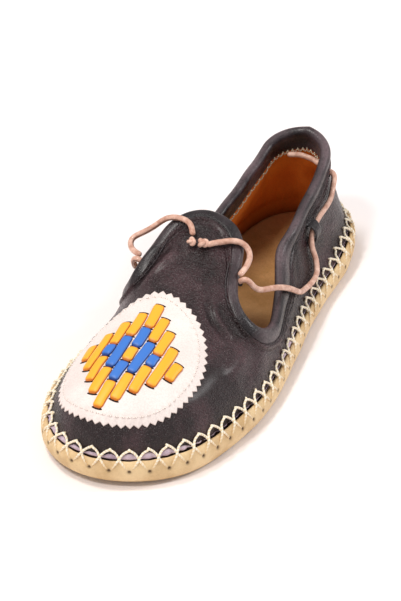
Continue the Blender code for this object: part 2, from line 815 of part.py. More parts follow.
def make_keeper(name, side, finish):
    """A leather bridge over the lace, arched across it, just clear of the quarter."""
    across, along = KEEPER_PLACE
    points = []
    for step in np.linspace(-1, 1, KEEPER_STEPS + 1):
        rise = GAP / MM + (KEEPER_ARCH - GAP / MM) * np.sqrt(max(0, 1 - step * step))
        for end in (-1, 1):
            for height in (rise, rise + KEEPER_THICKNESS):
                place = side * (across + step * KEEPER_HALF_WIDTH)
                row = along + end * KEEPER_HALF_LENGTH
                spot = np.array([[place], [row], [height]]) * MM
                points.append(leather_point(*spot)[0])
    order = (0, 1, 3, 2) if side > 0 else (2, 3, 1, 0)
    last = KEEPER_STEPS * 4
    faces = [tuple(order), tuple(last + k for k in reversed(order))]
    for r in range(KEEPER_STEPS):
        for c in range(4):
            a = r * 4 + order[c]
            b = r * 4 + order[(c + 1) % 4]
            faces.append((b, a, a + 4, b + 4))
    return add_solid(name, points, faces, finish)


def main():
    for old in list(bpy.data.objects):
        bpy.data.objects.remove(old)
    sole_leather = material("vegetable tanned sole leather", "#e3c78f", 0.6)
    goat_leather = material("dark brown goat leather", "#2b2426", 0.45)
    insole_leather = material("undyed insole leather", "#9c7044", 0.7)
    binding_leather = material("black binding leather", "#231f21", 0.4)
    white_leather = material("white alum leather", "#f1e8e6", 0.6)
    lace_leather = material("round undyed leather lace", "#d3a48c", 0.55)
    yellow_leather = material("yellow strip leather", "#f9b41f", 0.5)
    make_swept_sole("outsole", SOLE_SECTION, sole_leather)
    make_swept_sole("insole", INSOLE_SECTION, insole_leather)
    make_upper(goat_leather)
    make_binding(binding_leather)
    make_patch(white_leather)
    for number, (across, front, rear) in enumerate(STRIPS, 1):
        make_strip(number, across, front, rear, yellow_leather)
    for name, side in (("keeper_outer", 1), ("keeper_inner", -1)):
        make_keeper(name, side, binding_leather)
    make_lace("lace_outer", lace_route(OUTER_LACE), lace_leather)
    make_lace("lace_inner", lace_route(INNER_LACE), lace_leather)
    make_lace("lace_heel_strap", smooth_route(HEEL_STRAP), lace_leather)
    make_cord("lace_loop_outer", lace_route(OUTER_LOOP), lace_leather)
    make_cord("lace_loop_inner", smooth_route(INNER_LOOP), lace_leather)
    make_knot("lace_knot_outer", OUTER_KNOT, lace_leather)
    make_knot("lace_knot_inner", INNER_KNOT, lace_leather)


main()
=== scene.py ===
"""Turkish yemeni, a left shoe of goat leather with a sewn sole, a lace and a woven diamond."""

import math

import bpy
import numpy as np
from mathutils import Matrix, Vector


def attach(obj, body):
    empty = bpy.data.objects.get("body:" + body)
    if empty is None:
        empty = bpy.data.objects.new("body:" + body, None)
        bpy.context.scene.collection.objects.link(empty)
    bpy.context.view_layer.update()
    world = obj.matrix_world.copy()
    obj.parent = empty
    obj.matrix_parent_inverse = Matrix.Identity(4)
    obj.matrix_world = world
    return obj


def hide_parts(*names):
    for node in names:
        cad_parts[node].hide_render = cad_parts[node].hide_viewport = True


bl_info = {
    "name": "Turkish yemeni",
    "version": (1, 0, 0),
    "blender": (4, 5, 0),
    "location": "View3D > Sidebar > Yemeni",
    "description": "Builds a hand sewn leather yemeni over its solid model",
    "category": "Add Mesh",
}

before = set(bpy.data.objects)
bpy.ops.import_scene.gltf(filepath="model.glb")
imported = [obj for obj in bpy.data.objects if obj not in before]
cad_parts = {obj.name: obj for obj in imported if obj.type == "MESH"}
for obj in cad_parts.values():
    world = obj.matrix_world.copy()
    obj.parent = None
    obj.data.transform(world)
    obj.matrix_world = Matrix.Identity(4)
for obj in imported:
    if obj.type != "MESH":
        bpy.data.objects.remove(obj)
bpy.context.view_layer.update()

# Sizes of the shoe. X runs to the outer side, Y from the toe to the heel, Z up. Places on the
# leather are given on the flat pattern of the upper: across from the centre line and the
# distance from the toe.
MM = 0.001
LENGTH = 265 * MM
SOLE_FLOOR = 3.5 * MM
SEAM_HEIGHT = 13.2 * MM
LEATHER = 1.8 * MM
GAP = 0.35 * MM
UPPER_INSET = 3.8 * MM
TUCK = SEAM_HEIGHT - SOLE_FLOOR - GAP
TOE_SPRING = 3.0 * MM
TOE_SPRING_REACH = 40 * MM
ARCH_LIFT = 1.2 * MM
ARCH_START = 108 * MM
ARCH_END = 186 * MM
BOX_MIDDLE_X = 2.87 * MM

# How finely the surfaces are drawn.
COLUMNS = 420
SOLE_COLUMNS = 1280
SOLE_WALL_ROWS = 46
INSOLE_COLUMNS = 640
# Rows of the upper's outer and inner skin and of the lining's two: all, near the edge, and how
# far in the near ones reach.
UPPER_ROWS = (134, 22, 12.6 * MM)
UPPER_BACK_ROWS = (24, 3, 4 * MM)
LINING_ROWS = (62, 8, 10 * MM)
LINING_BACK_ROWS = (20, 3, 4 * MM)
CURVE_SAMPLES = 1440
BEZIER_STEPS = 24
BEND_WEIGHT = 14 * MM
COLUMN_START = 12 * MM
COLUMN_START_PART = 0.3
COLUMN_END_PART = 0.5
COLUMN_STEPS = 60

# Widest outline of the sole: part of the length from the toe, outer and inner half width in mm.
OUTLINE = (
    (0.03, 21, 24.5), (0.10, 39, 38.5), (0.20, 48, 45), (0.32, 51.5, 45), (0.45, 48, 40),
    (0.58, 42, 36), (0.72, 37, 34), (0.85, 34, 32), (0.95, 23, 23),
)
TOE_TIP_X = -1
HEEL_TIP_X = 0

# The section lines of the upper run straight across between two poles, and fan out round
# the toe and the heel beyond them. A station is the distance from the toe along the line
# of poles, carried on round each end.
FRONT_POLE = 52 * MM
REAR_POLE = 231 * MM
FRONT_TURN = 50 * MM
REAR_TURN = 34 * MM

# Sections of the last, in mm: station, inward and upward start at the seam, outward run and
# drop of the top handle, distance of the top from the centre line, height of the top.
SECTIONS = (
    (2, 1, 22, 24, 0, 0, 43.7), (27, 1, 21, 24, 0, 0, 43.7), (52, 1, 20, 24, 0, 0, 43.7),
    (70, 1.5, 20, 26, 0, 0, 46.3), (90, 2, 22, 27, 0, 0, 49.5), (107, 2, 24, 28, 0, 0, 55),
    (124, 2.5, 19, 28, 0, 0, 61.5), (141, 3, 14, 24, 2, 1, 65.5), (158, 5, 12, 12, 9, 12, 55),
    (174, 7, 11, 4, 14, 20, 46), (190, 7.5, 11, 2.5, 16, 19.3, 48),
    (210, 7.5, 11, 2.5, 16, 18.3, 51.5), (231, 6.5, 12, 2.5, 17, 16.5, 56),
    (250, 4, 14, 2.5, 18, 15.5, 60), (265, 3, 14, 2.5, 18, 16, 62),
)
# The inner side of the forefoot is lower and less full than the outer side.
MEDIAL_RISE = 0.75
MEDIAL_CROWN = 0.7
MEDIAL_LEAN = 3 * MM
MEDIAL_END = 88 * MM
MEDIAL_FADE = 30 * MM
# Centre line of the last seen from above, in mm: distance from the toe, x.
CENTRE = (
    (30, -2), (52, -2.6), (84, -5), (105, -8), (124, -11), (140, -10.5), (156, -4.5), (172, 0.7),
    (190, 0.7), (210, -0.3), (231, -2),
)

# Cut edge of the collar on the flat pattern, in mm: distance across from the centre line,
# distance from the toe. It runs from the heel by the outer side and the tongue to the inner side.
COLLAR_EDGE = (
    (0, 247), (10.8, 242), (16.5, 231), (18.2, 211), (19.3, 191), (21.5, 174), (33, 160.5),
    (48, 149), (58.5, 137), (61, 122), (56, 110.5), (48, 103.5), (40, 103), (34, 107), (30.8, 114),
    (29.5, 124), (26.5, 134), (19, 142), (8, 145), (-3, 142.5), (-9.5, 136), (-14, 128), (-17, 119),
    (-20, 111), (-25, 106), (-32, 105.5), (-40, 110), (-46, 119), (-48.5, 131), (-45, 144),
    (-35, 158), (-22, 173), (-19.3, 191), (-18.2, 211), (-16.5, 231), (-10.8, 242),
)
# The rows of the table where the edge turns at the bottom of the two side openings, and the tip.
OUTER_BOTTOM_ROW = 11
TONGUE_TIP_ROW = 18
INNER_BOTTOM_ROW = 25

# The seam with the sole: stitches round the whole edge, and the thread's way from its hole in
# the sole wall over the lip into the upper.
SOLE_STITCHES = 64
HOLE_HEIGHT = 8.6 * MM
HOLE_WIDTH = 0.85 * MM
# Outside the sole wall, in mm: inward from the widest outline, height.
LEG_ON_SOLE = ((2.2, 9.2), (0.6, 9.5), (0.35, 10.4), (0.75, 12.0), (1.15, 13.6), (2.2, 14.6))
# On the upper the thread bends round in an arch, in mm above the seam.
ARCH_FOOT = 1.6
ARCH_TOP = 6.0

# Creases of the upper on the pattern, in mm: start, middle and end (across, from the toe),
# width, height of the ridge or, below zero, depth of the trough.
CREASES = (
    ((-17, 95), (-9, 108), (-2, 119), 2.2, 0.9), ((-22, 97), (-14, 110), (-7, 121), 2.6, -0.9),
    ((-27, 100), (-20, 110), (-13, 119), 2.2, 0.5), ((23, 103), (27, 93), (39, 88.5), 1.5, 0.7),
    ((21, 100), (25, 90), (37, 85), 1.5, -0.6), ((17, 97), (23, 87), (36, 81), 1.9, 0.45),
    ((-6, 127), (8, 131), (22, 127), 2.2, -0.5), ((-7, 132), (6, 136), (19, 133), 2.0, 0.4),
    ((44, 68), (47, 80), (43, 93), 4.0, 0.7), ((52, 72), (56, 84), (53, 97), 4.5, -0.6),
    ((58, 90), (67, 104), (70, 118), 4.5, -0.6), ((-40, 70), (-44, 82), (-40, 94), 4.0, 0.6),
    ((-50, 74), (-54, 86), (-51, 99), 4.5, -0.6), ((44, 195), (52, 209), (56, 222), 3.0, -0.5),
    ((39, 203), (46, 217), (48, 229), 3.0, 0.4), ((-44, 193), (-50, 207), (-54, 220), 3.0, -0.4),
    ((26, 176), (36, 173), (50, 163), 2.2, -0.4), ((-24, 177), (-34, 174), (-46, 166), 2.2, -0.4),
)

# The band that is stitched round the collar, in mm: distance from the cut edge, width, height.
COLLAR_BAND = ((7.3, 0.8, 0.8), (9.8, 0.9, -0.5))

# Smooth section of the collar binding, in mm: distance from the cut edge, height over the leather.
BINDING_SECTION = (
    (5.4, 0.0), (5.1, 0.55), (4.3, 1.0), (3.0, 1.5), (1.5, 1.85), (0.1, 1.75), (-1.1, 1.05),
    (-1.9, -0.3), (-1.9, -1.8), (-1.1, -3.0), (0.4, -3.55), (2.6, -3.4), (5.5, -3.2), (10.4, -3.0),
    (10.9, -2.55), (10.4, -2.1), (4.0, -2.0), (0.4, -1.9), (-0.5, -1.0), (0.2, 0.0), (2.8, 0.0),
)
BINDING_SAMPLES = 56
CHANNEL_DEPTH = 5.8 * MM
CHANNEL_STITCH = 3.0 * MM
FACING_DEPTH = 10.2 * MM
FACING_STITCH = 2.4 * MM

# Section of the turned up sole wall, in mm: distance inward from the widest outline, height.
SOLE_SECTION = (
    (16, 0), (5.2, 0), (2.3, 0.7), (0.75, 2.8), (0, 6), (0.2, 9.4), (0.85, 11.6), (1.5, 13.1),
    (2.35, 13.85), (3.05, 13.3), (3.35, 12.2), (3.35, 3.5), (16, 3.5),
)
SOLE_INNER_END = (16 * MM, SOLE_FLOOR)
# Section of the insole's edge, and how far inward and how high its face lies, in mm.
INSOLE_SECTION = ((6.35, 3.9), (6.35, 5.2), (6.9, 5.75), (8, 5.9), (18, 5.9))

# Outline of the pinked patch on the pattern, in mm: distance from the toe, half width.
PATCH_OUTLINE = (
    (4.5, 0), (6, 10), (10.5, 20.5), (19.5, 30), (31, 35), (45, 36.8), (58, 35.7), (70, 31.6),
    (80, 25.2), (88, 16), (93.5, 0),
)
PATCH_CENTRE = (0, 50)
PATCH_TOOTH = 1.8 * MM
# Height of the patch's face over the leather, and of its stitches in their row near the edge.
PATCH_TOP = 1.7 * MM
PATCH_STITCH_INSET = 5.2 * MM
PATCH_STITCH = 3.1 * MM

# Bars of the woven diamond, in mm: distance across to the middle, then each bar's colour,
# front end and rear end. The inner and outer halves are alike.
BAR_PITCH = 5.6
BAR_MIDDLE = 0.5
BAR_CHART = (
   
    (
        *(("yellow", 12, 28.2), ("blue", 28.2, 42), ("yellow", 42, 52)),
        *(("blue", 52, 66), ("yellow", 66, 83)),
    ),
    (("yellow", 18.5, 35.8), ("blue", 35.8, 58.2), ("yellow", 58.2, 75.5)),
    (("yellow", 25.8, 43.2), ("blue", 43.2, 51.4), ("yellow", 51.4, 68.5)), (("yellow", 33, 60.5),),
    (("yellow", 40.5, 53),),
)
BAR_WIDTH = 5.25 * MM
BAR_SEED = 7
# Slot at each end of a bar, a dark disc of painted shade, in mm: half its width and length, and
# rings of it: size, height.
SLOT_HALF = (2.7, 0.75)
SLOT_RINGS = ((1.0, 1.6), (1.0, 1.76), (0.5, 1.8), (0.02, 1.8))
BAR_THICKNESS = 1.35 * MM

# Round leather lace. Each route is in mm on the pattern of the upper: across, distance from the
# toe, height of the lace's middle above the leather.
OUTER_LACE = (
    (33.5, 119, 3.4), (39, 121, 2.4), (47.5, 129, 2.2), (53.5, 142, 3.8), (53.5, 154, 3.4),
    (50, 166, 2.2), (49.5, 178, 2.2), (49, 186.5, 2.2), (44.5, 190.5, 2.2), (38.5, 190.9, 2.2),
    (33.4, 194.4, 2.2), (31.8, 200, 2.2), (31.2, 206, 2.2), (32.6, 217, 2.2), (33, 225, 2.2),
    (29.8, 231.5, 2.2), (25.4, 234.5, 2.4),
)
INNER_LACE = (
    (-22.5, 112.5, 3.6), (-28, 114.5, 2.4), (-36, 123, 2.2), (-41.5, 136, 3.2), (-43, 148, 3.8),
    (-44.5, 164, 2.4), (-46.5, 178, 2.2), (-47, 187, 2.2), (-43.5, 191.5, 2.2), (-38.5, 191.2, 2.2),
    (-33.2, 194.6, 2.2), (-31.8, 200, 2.2), (-31.2, 206, 2.2), (-32.6, 217, 2.2), (-33, 225, 2.2),
    (-29.8, 231.5, 2.2), (-25.4, 234.5, 2.4),
)
OUTER_LOOP = (
    (11.4, 124.4, 2.3), (14.5, 127.5, 2.3), (19.5, 132, 3.0), (25.5, 134.8, 3.8),
    (30.3, 132.6, 3.9), (31.6, 126, 3.8), (30.4, 119.8, 3.6),
)
OUTER_KNOT = (8.6, 123.4, 2.8)
INNER_KNOT = (3.4, 122.0, 2.8)
# Routes that leave the leather, in mm: x from the toe tip's axis, distance from the toe, height.
INNER_LOOP = (
    (-9.0, 125.5, 65.2), (-12.5, 129.6, 67.0), (-18.5, 131.5, 67.4), (-25.5, 131.5, 65.4),
    (-31, 130.5, 60.6), (-37, 127.8, 55.8), (-41, 124, 52.8), (-39, 119.5, 51.3),
    (-33, 115.8, 51.3),
)
HEEL_STRAP = (
    (-8.5, 238.6, 49.5), (-4.5, 240.6, 49.5), (0, 241.2, 49), (4.5, 240.2, 49), (8, 238.2, 49),
)
# Holes that the lace goes through, in mm on the pattern, and rings of one: radius, height.
LACE_HOLES = ((31.9, 118.4), (-21.6, 111.8), (24.6, 234.6), (-24.6, 234.6))
HOLE_RINGS = ((2.3, 0.15), (2.2, 0.47), (1.9, 0.55), (1.5, 0.47), (0.05, 0.4))
# Middle of the keeper over the lace on the pattern, half its length and half its width, in mm.
KEEPER_PLACE = (32.8, 196.5)
KEEPER_REACH = 7.0
KEEPER_HALF_WIDTH = 3.4



def spline(knots, values, at):
    """Natural cubic spline through the values, read at the given places."""
    x = np.asarray(knots, float)
    y = np.asarray(values, float)
    count = len(x)
    step = np.diff(x)
    matrix = np.zeros((count, count))
    right = np.zeros((count,) + y.shape[1:])
    matrix[0, 0] = 1
    matrix[-1, -1] = 1
    for i in range(1, count - 1):
        matrix[i, i - 1] = step[i - 1]
        matrix[i, i] = 2 * (step[i - 1] + step[i])
        matrix[i, i + 1] = step[i]
        right[i] = 6 * ((y[i + 1] - y[i]) / step[i] - (y[i] - y[i - 1]) / step[i - 1])
    bend = np.linalg.solve(matrix, right)
    at = np.clip(np.asarray(at, float), x[0], x[-1])
    i = np.clip(np.searchsorted(x, at) - 1, 0, count - 2)
    after = at - x[i]
    before = x[i + 1] - at
    width = step[i]
    if y.ndim > 1:
        after = after[..., None]
        before = before[..., None]
        width = width[..., None]
    curve = (bend[i] * before**3 + bend[i + 1] * after**3) / (6 * width)
    low = (y[i] / width - bend[i] * width / 6) * before
    high = (y[i + 1] / width - bend[i + 1] * width / 6) * after
    return curve + low + high


def distances(curve):
    """Distance along a curve at each of its points."""
    lengths = np.linalg.norm(np.diff(curve, axis=0), axis=1)
    return np.concatenate([[0], np.cumsum(lengths)])


def read_at(at, run, curve):
    """Places on a curve where the distance along it, or another run, has the given values."""
    return np.stack([np.interp(at, run, curve[:, k]) for k in range(curve.shape[1])], axis=-1)


def square_out(ring):
    """Unit directions square to a closed flat ring, one for each of its points."""
    tangent = np.roll(ring, -1, axis=0) - np.roll(ring, 1, axis=0)
    outward = np.stack([-tangent[:, 1], tangent[:, 0]], axis=1)
    return outward / np.linalg.norm(outward, axis=1)[:, None]


def closed_curve(points, count):
    """Smooth closed curve through the points, as evenly stepped samples from the first point."""
    points = np.asarray(points, float)
    overlap = 4
    wrapped = np.concatenate([points[-overlap:], points, points[:overlap]])
    knots = distances(wrapped)
    at = np.linspace(knots[overlap], knots[overlap + len(points)], count, endpoint=False)
    return spline(knots, wrapped, at)


def even_steps(curve, count, closed=False):
    """The same curve, sampled again at even distances."""
    if closed:
        curve = np.concatenate([curve, curve[:1]])
    run = distances(curve)
    return read_at(np.linspace(0, run[-1], count, endpoint=not closed), run, curve)


def sole_outline(inset, count):
    """Outline of the sole moved inward, from the heel by the outer side to the toe and back."""
    outer = [(side, part * LENGTH / MM) for part, side, _ in reversed(OUTLINE)]
    inner = [(-side, part * LENGTH / MM) for part, _, side in OUTLINE]
    points = [(HEEL_TIP_X, LENGTH / MM)] + outer + [(TOE_TIP_X, 0)] + inner
    curve = closed_curve(np.array(points) * MM, CURVE_SAMPLES)
    curve = even_steps(curve, count, closed=True)
    return curve - square_out(curve) * inset


def centre_x(along):
    """Centre line of the last, seen from above."""
    rows = np.array(CENTRE, float) * MM
    return spline(rows[:, 0], rows[:, 1], along)


def station_of(foot, out):
    """Station of the section line that leaves its foot on the centre line in a direction."""
    angle = np.arctan2(out[..., 1], np.abs(out[..., 0])) / (np.pi / 2)
    return foot + np.where(angle < 0, FRONT_TURN, REAR_TURN) * angle


def section_lines(across, along):
    """Foot, outward direction, distance out and station of the section line of each place."""
    foot = np.clip(along, FRONT_POLE, REAR_POLE)
    side = np.where(np.abs(across) < 1e-9, 1e-9, across)
    beyond = along - foot
    distance = np.hypot(side, beyond)
    out = np.stack([side / distance, beyond / distance], axis=-1)
    return foot, out, distance, station_of(foot, out)


def rim_points(foot, out):
    """Where each section line meets the outer face of the upper inside the sole wall."""
    ring = sole_outline(UPPER_INSET, CURVE_SAMPLES)
    base = np.stack([centre_x(foot), foot], axis=-1)
    rim = np.empty_like(base)
    ring_side = np.sign(ring[:, 0] - centre_x(ring[:, 1]))
    for side in (1, -1):
        half = ring[ring_side == side]
        half = half[np.argsort(half[:, 1])]
        here = (out[..., 0] * side > 0) & (out[..., 1] == 0)
        rim[here, 0] = np.interp(foot, half[:, 1], half[:, 0])[here]
        rim[here, 1] = foot[here]
    for pole, end in ((FRONT_POLE, -1), (REAR_POLE, 1)):
        centre = np.array([centre_x(pole), pole])
        spoke = ring - centre
        turn = np.arctan2(spoke[:, 0], spoke[:, 1] * end)
        wanted = np.arctan2(out[..., 0], out[..., 1] * end)
        radius = np.interp(wanted, turn, np.hypot(spoke[:, 0], spoke[:, 1]), period=2 * np.pi)
        here = out[..., 1] * end > 0
        rim[here] = (centre + out * radius[..., None])[here]
    return base, rim


def section_handles(foot, out, station):
    """The four handles of each section curve, from the seam up to the top, and the top's reach."""
    base, rim = rim_points(foot, out)
    table = np.array(SECTIONS, float) * MM
    row = spline(table[:, 0], table[:, 1:5], station)
    reach = np.maximum(spline(table[:, 0], table[:, 5], station), 0)
    reach = np.where(station > 128 * MM, reach, 0)
    crown = table[table[:, 0] >= FRONT_POLE]
    height = spline(crown[:, 0], crown[:, 6], np.maximum(station, FRONT_POLE))
    ahead = spline(crown[:, 0], crown[:, 6], FRONT_POLE + MM)
    slope = (ahead - crown[0, 6]) / MM
    medial = np.clip((MEDIAL_END - station) / MEDIAL_FADE + 1, 0, 1)
    medial = medial * np.clip(-out[..., 0] / 0.8, 0, 1)
    medial = smooth_step(medial)
    inward = row[..., 0] + MEDIAL_LEAN * medial
    upward = row[..., 1] * (1 + (MEDIAL_RISE - 1) * medial)
    run = row[..., 2] * (1 + (MEDIAL_CROWN - 1) * medial)
    drop = row[..., 3] + run * slope * np.maximum(-out[..., 1], 0)
    flat = np.concatenate([out, np.zeros(out.shape[:-1] + (1,))], axis=-1)
    up = np.array([0.0, 0.0, 1.0])
    seam = np.concatenate([rim, np.full(rim.shape[:-1] + (1,), SEAM_HEIGHT)], axis=-1)
    start = seam - flat * inward[..., None] + up * upward[..., None]
    top = np.concatenate([base, height[..., None]], axis=-1) + flat * reach[..., None]
    end = top + flat * run[..., None] - up * drop[..., None]
    return seam, start, end, top, reach


def bezier(seam, start, end, top, t):
    """Cubic curve from the first place to the last, read at a part of the way."""
    t = t[..., None]
    s = 1 - t
    return seam * s**3 + start * 3 * s * s * t + end * 3 * s * t * t + top * t**3


def section_lengths(handles, shape):
    """Lengths along each section curve, measured from its top down to the seam."""
    steps = np.linspace(1, 0, BEZIER_STEPS + 1)
    points = np.stack([bezier(*handles, np.full(shape, t)) for t in steps], axis=0)
    pieces = np.linalg.norm(np.diff(points, axis=0), axis=-1)
    return np.concatenate([np.zeros((1,) + shape), np.cumsum(pieces, axis=0)], axis=0)


def lift(y):
    """Height of the underside above the floor: the toe spring and the arch."""
    toe = np.clip((TOE_SPRING_REACH - y) / TOE_SPRING_REACH, 0, 1) ** 2 * TOE_SPRING
    waist = np.clip((y - ARCH_START) / (ARCH_END - ARCH_START), 0, 1)
    return toe + ARCH_LIFT * np.sin(np.pi * waist) ** 2


def upper_point(across, along):
    """Outer face of the upper at a place on the flat pattern."""
    across = np.asarray(across, float)
    along = np.asarray(along, float)
    foot, out, distance, station = section_lines(across, along)
    *handles, reach = section_handles(foot, out, station)
    run = section_lengths(handles, distance.shape)
    wanted = distance - reach
    i = np.clip((run[1:] < wanted).sum(axis=0), 0, BEZIER_STEPS - 1)
    low = np.take_along_axis(run, i[None], axis=0)[0]
    high = np.take_along_axis(run, i[None] + 1, axis=0)[0]
    below = np.maximum(wanted - run[-1], 0)
    part = np.where(below > 0, 1, (wanted - low) / (high - low))
    point = bezier(*handles, 1 - (i + part) / BEZIER_STEPS)
    point[..., 2] += lift(point[..., 1]) - below
    return point


def smooth_step(value):
    """Rises evenly from 0 to 1, with a soft start and end."""
    value = np.clip(value, 0, 1)
    return value * value * (3 - 2 * value)


def seam_turn(foot, out):
    """How far round the seam each section line ends, from 0 at the heel by the outer side to 1."""
    ring = sole_outline(UPPER_INSET, CURVE_SAMPLES)
    part = np.arange(CURVE_SAMPLES) / CURVE_SAMPLES
    turn = np.empty(foot.shape)
    ring_side = np.sign(ring[:, 0] - centre_x(ring[:, 1]))
    for side in (1, -1):
        order = np.flatnonzero(ring_side == side)
        order = order[np.argsort(ring[order, 1])]
        here = (out[..., 0] * side > 0) & (out[..., 1] == 0)
        turn[here] = np.interp(foot, ring[order, 1], part[order])[here]
    for pole, end in ((FRONT_POLE, -1), (REAR_POLE, 1)):
        centre = np.array([centre_x(pole), pole])
        near = ring[:, 1] * end > (pole - 10 * MM * end) * end
        spoke = (ring - centre)[near]
        angle = np.arctan2(spoke[:, 0], spoke[:, 1] * end)
        value = part[near]
        if end > 0:
            value = np.where(value > 0.5, value - 1, value)
        order = np.argsort(angle)
        here = out[..., 1] * end > 0
        wanted = np.arctan2(out[..., 0], out[..., 1] * end)
        turn[here] = np.interp(wanted, angle[order], value[order])[here]
    return turn % 1


def crease_relief(across, along):
    """Height of the creases at each place on the pattern."""
    place = np.stack([across, along], axis=-1).reshape(-1, 2)
    height = np.zeros(len(place))
    steps = np.linspace(0, 1, 25)[:, None]
    for start, middle, end, width, rise in CREASES:
        start, middle, end = (np.array(p, float) * MM for p in (start, middle, end))
        bend = 2 * middle - (start + end) / 2
        path = start * (1 - steps) ** 2 + bend * 2 * steps * (1 - steps) + end * steps**2
        reach = 3.2 * width * MM
        low = path.min(axis=0) - reach
        high = path.max(axis=0) + reach
        near = np.flatnonzero(((place > low) & (place < high)).all(axis=1))
        if not len(near):
            continue
        gap = np.linalg.norm(place[near, None] - path[None], axis=-1)
        t = steps[gap.argmin(axis=1), 0]
        ends = (4 * t * (1 - t)) ** 0.7
        height[near] += 1.3 * rise * MM * ends * np.exp(-((gap.min(axis=1) / (width * MM)) ** 2))
    return height.reshape(np.shape(across))


def wave_relief(across, along):
    """Low uneven waves of a hand lasted upper, under half a millimetre high."""
    x = across / MM
    y = along / MM
    waves = np.sin(x / 5.1 + y / 9.7 + 0.4) * np.sin(y / 6.3 - x / 14.0 + 1.1)
    waves = waves + 0.7 * np.sin(x / 3.3 - y / 4.9 + 2.0) * np.sin(y / 8.1 + x / 6.7)
    return waves * 0.13 * MM


def relief(across, along):
    """Everything that stands above or below the smooth last, in metres."""
    foot, out, distance, station = section_lines(across, along)
    *handles, reach = section_handles(foot, out, station)
    above = reach + section_lengths(handles, distance.shape)[-1] - distance
    stitch = seam_turn(foot, out) * SOLE_STITCHES
    pulled = 0.42 * MM * np.cos(4 * np.pi * stitch) * np.exp(-((above / (5.5 * MM)) ** 2))
    pulled = pulled * smooth_step((above + MM) / (2.5 * MM))
    free = smooth_step(above / (9 * MM))
    return crease_relief(across, along) + wave_relief(across, along) * free + pulled


def leather_point(across, along, height):
    """A place on the pattern, at a height above the outer face of the upper."""
    across = np.asarray(across, float)
    along = np.asarray(along, float)
    step = 0.4 * MM
    side = upper_point(across + step, along) - upper_point(across - step, along)
    ahead = upper_point(across, along + step) - upper_point(across, along - step)
    normal = np.cross(side, ahead)
    normal /= np.linalg.norm(normal, axis=-1)[..., None]
    height = height + relief(across, along)
    return upper_point(across, along) + normal * height[..., None]


def seam_place(part, above):
    """Place on the pattern a distance above the seam, at a part of the way round it."""
    ring = sole_outline(UPPER_INSET, CURVE_SAMPLES)
    ring = np.concatenate([ring, ring[:1]])
    at = (np.asarray(part) % 1) * CURVE_SAMPLES
    steps = np.arange(CURVE_SAMPLES + 1)
    spot = read_at(at, steps, ring)
    foot = np.clip(spot[..., 1], FRONT_POLE, REAR_POLE)
    spoke = spot - np.stack([centre_x(foot), foot], axis=-1)
    out = spoke / np.linalg.norm(spoke, axis=-1)[..., None]
    beyond = spot[..., 1] - foot
    straight = np.stack([np.sign(spoke[..., 0]), beyond], axis=-1)
    out = np.where((beyond == 0)[..., None], straight, out)
    *handles, reach = section_handles(foot, out, station_of(foot, out))
    distance = reach + section_lengths(handles, foot.shape)[-1] - above
    return out[..., 0] * distance, foot + out[..., 1] * distance


def rim_on_pattern(station, side):
    """Place on the pattern of the lower edge of the upper, at a station on one side."""
    foot = np.clip(station, FRONT_POLE, REAR_POLE)
    turn = np.where(station < FRONT_POLE, (station - FRONT_POLE) / FRONT_TURN, 0)
    turn = np.where(station > REAR_POLE, (station - REAR_POLE) / REAR_TURN, turn)
    angle = turn * np.pi / 2
    flat = np.abs(turn) < 1e-12
    out = np.stack([side * np.cos(angle), np.where(flat, 0, np.sin(angle))], axis=-1)
    *handles, reach = section_handles(foot, out, station)
    distance = reach + section_lengths(handles, station.shape)[-1] + TUCK
    rim = np.stack([out[..., 0] * distance, foot + out[..., 1] * distance], axis=-1)
    return rim, out


def collar_curve():
    """Dense samples of the collar's cut edge, and the sample at each row of its table."""
    curve = closed_curve(np.array(COLLAR_EDGE, float) * MM, CURVE_SAMPLES)
    rows = [np.argmin(np.linalg.norm(curve - np.array(row) * MM, axis=1)) for row in COLLAR_EDGE]
    return curve, rows


def side_columns(curve, bottom, side, count):
    """Matching places on the collar edge and on the lower edge, from the heel to the toe."""
    chords = np.diff(curve, axis=0)
    run = distances(curve)
    bend = np.abs(np.diff(np.unwrap(np.arctan2(chords[:, 1], chords[:, 0]))))
    weighted = run.copy()
    weighted[2:] += np.cumsum(bend) * BEND_WEIGHT
    at = np.interp(np.linspace(0, weighted[-1], count), weighted, run)
    edge = read_at(at, run, curve)
    station = section_lines(edge[:, 0], edge[:, 1])[3]
    station[0] = REAR_POLE + REAR_TURN
    turn = run[bottom] / run[-1]
    part = np.clip((at / run[-1] - turn) / (1 - turn), 0, 1)
    toe = FRONT_POLE - FRONT_TURN
    start = curve[bottom, 1]
    station = np.where(part > 0, start + (toe - start) * part, station)
    station = np.minimum.accumulate(station)
    return edge, *rim_on_pattern(station, side)


def upper_columns():
    """Collar edge and lower edge of the upper, column by column, and their square directions."""
    curve, rows = collar_curve()
    tip = rows[TONGUE_TIP_ROW]
    half = COLUMNS // 2 + 1
    outer = side_columns(curve[: tip + 1], rows[OUTER_BOTTOM_ROW], 1, half)
    inner_side = np.concatenate([curve[tip:], curve[:1]])[::-1]
    inner_bottom = len(inner_side) - 1 - (rows[INNER_BOTTOM_ROW] - tip)
    inner = side_columns(inner_side, inner_bottom, -1, half)
    edge, rim, out = (np.concatenate([o, i[-2:0:-1]]) for o, i in zip(outer, inner))
    return edge, rim, square_out(edge), out


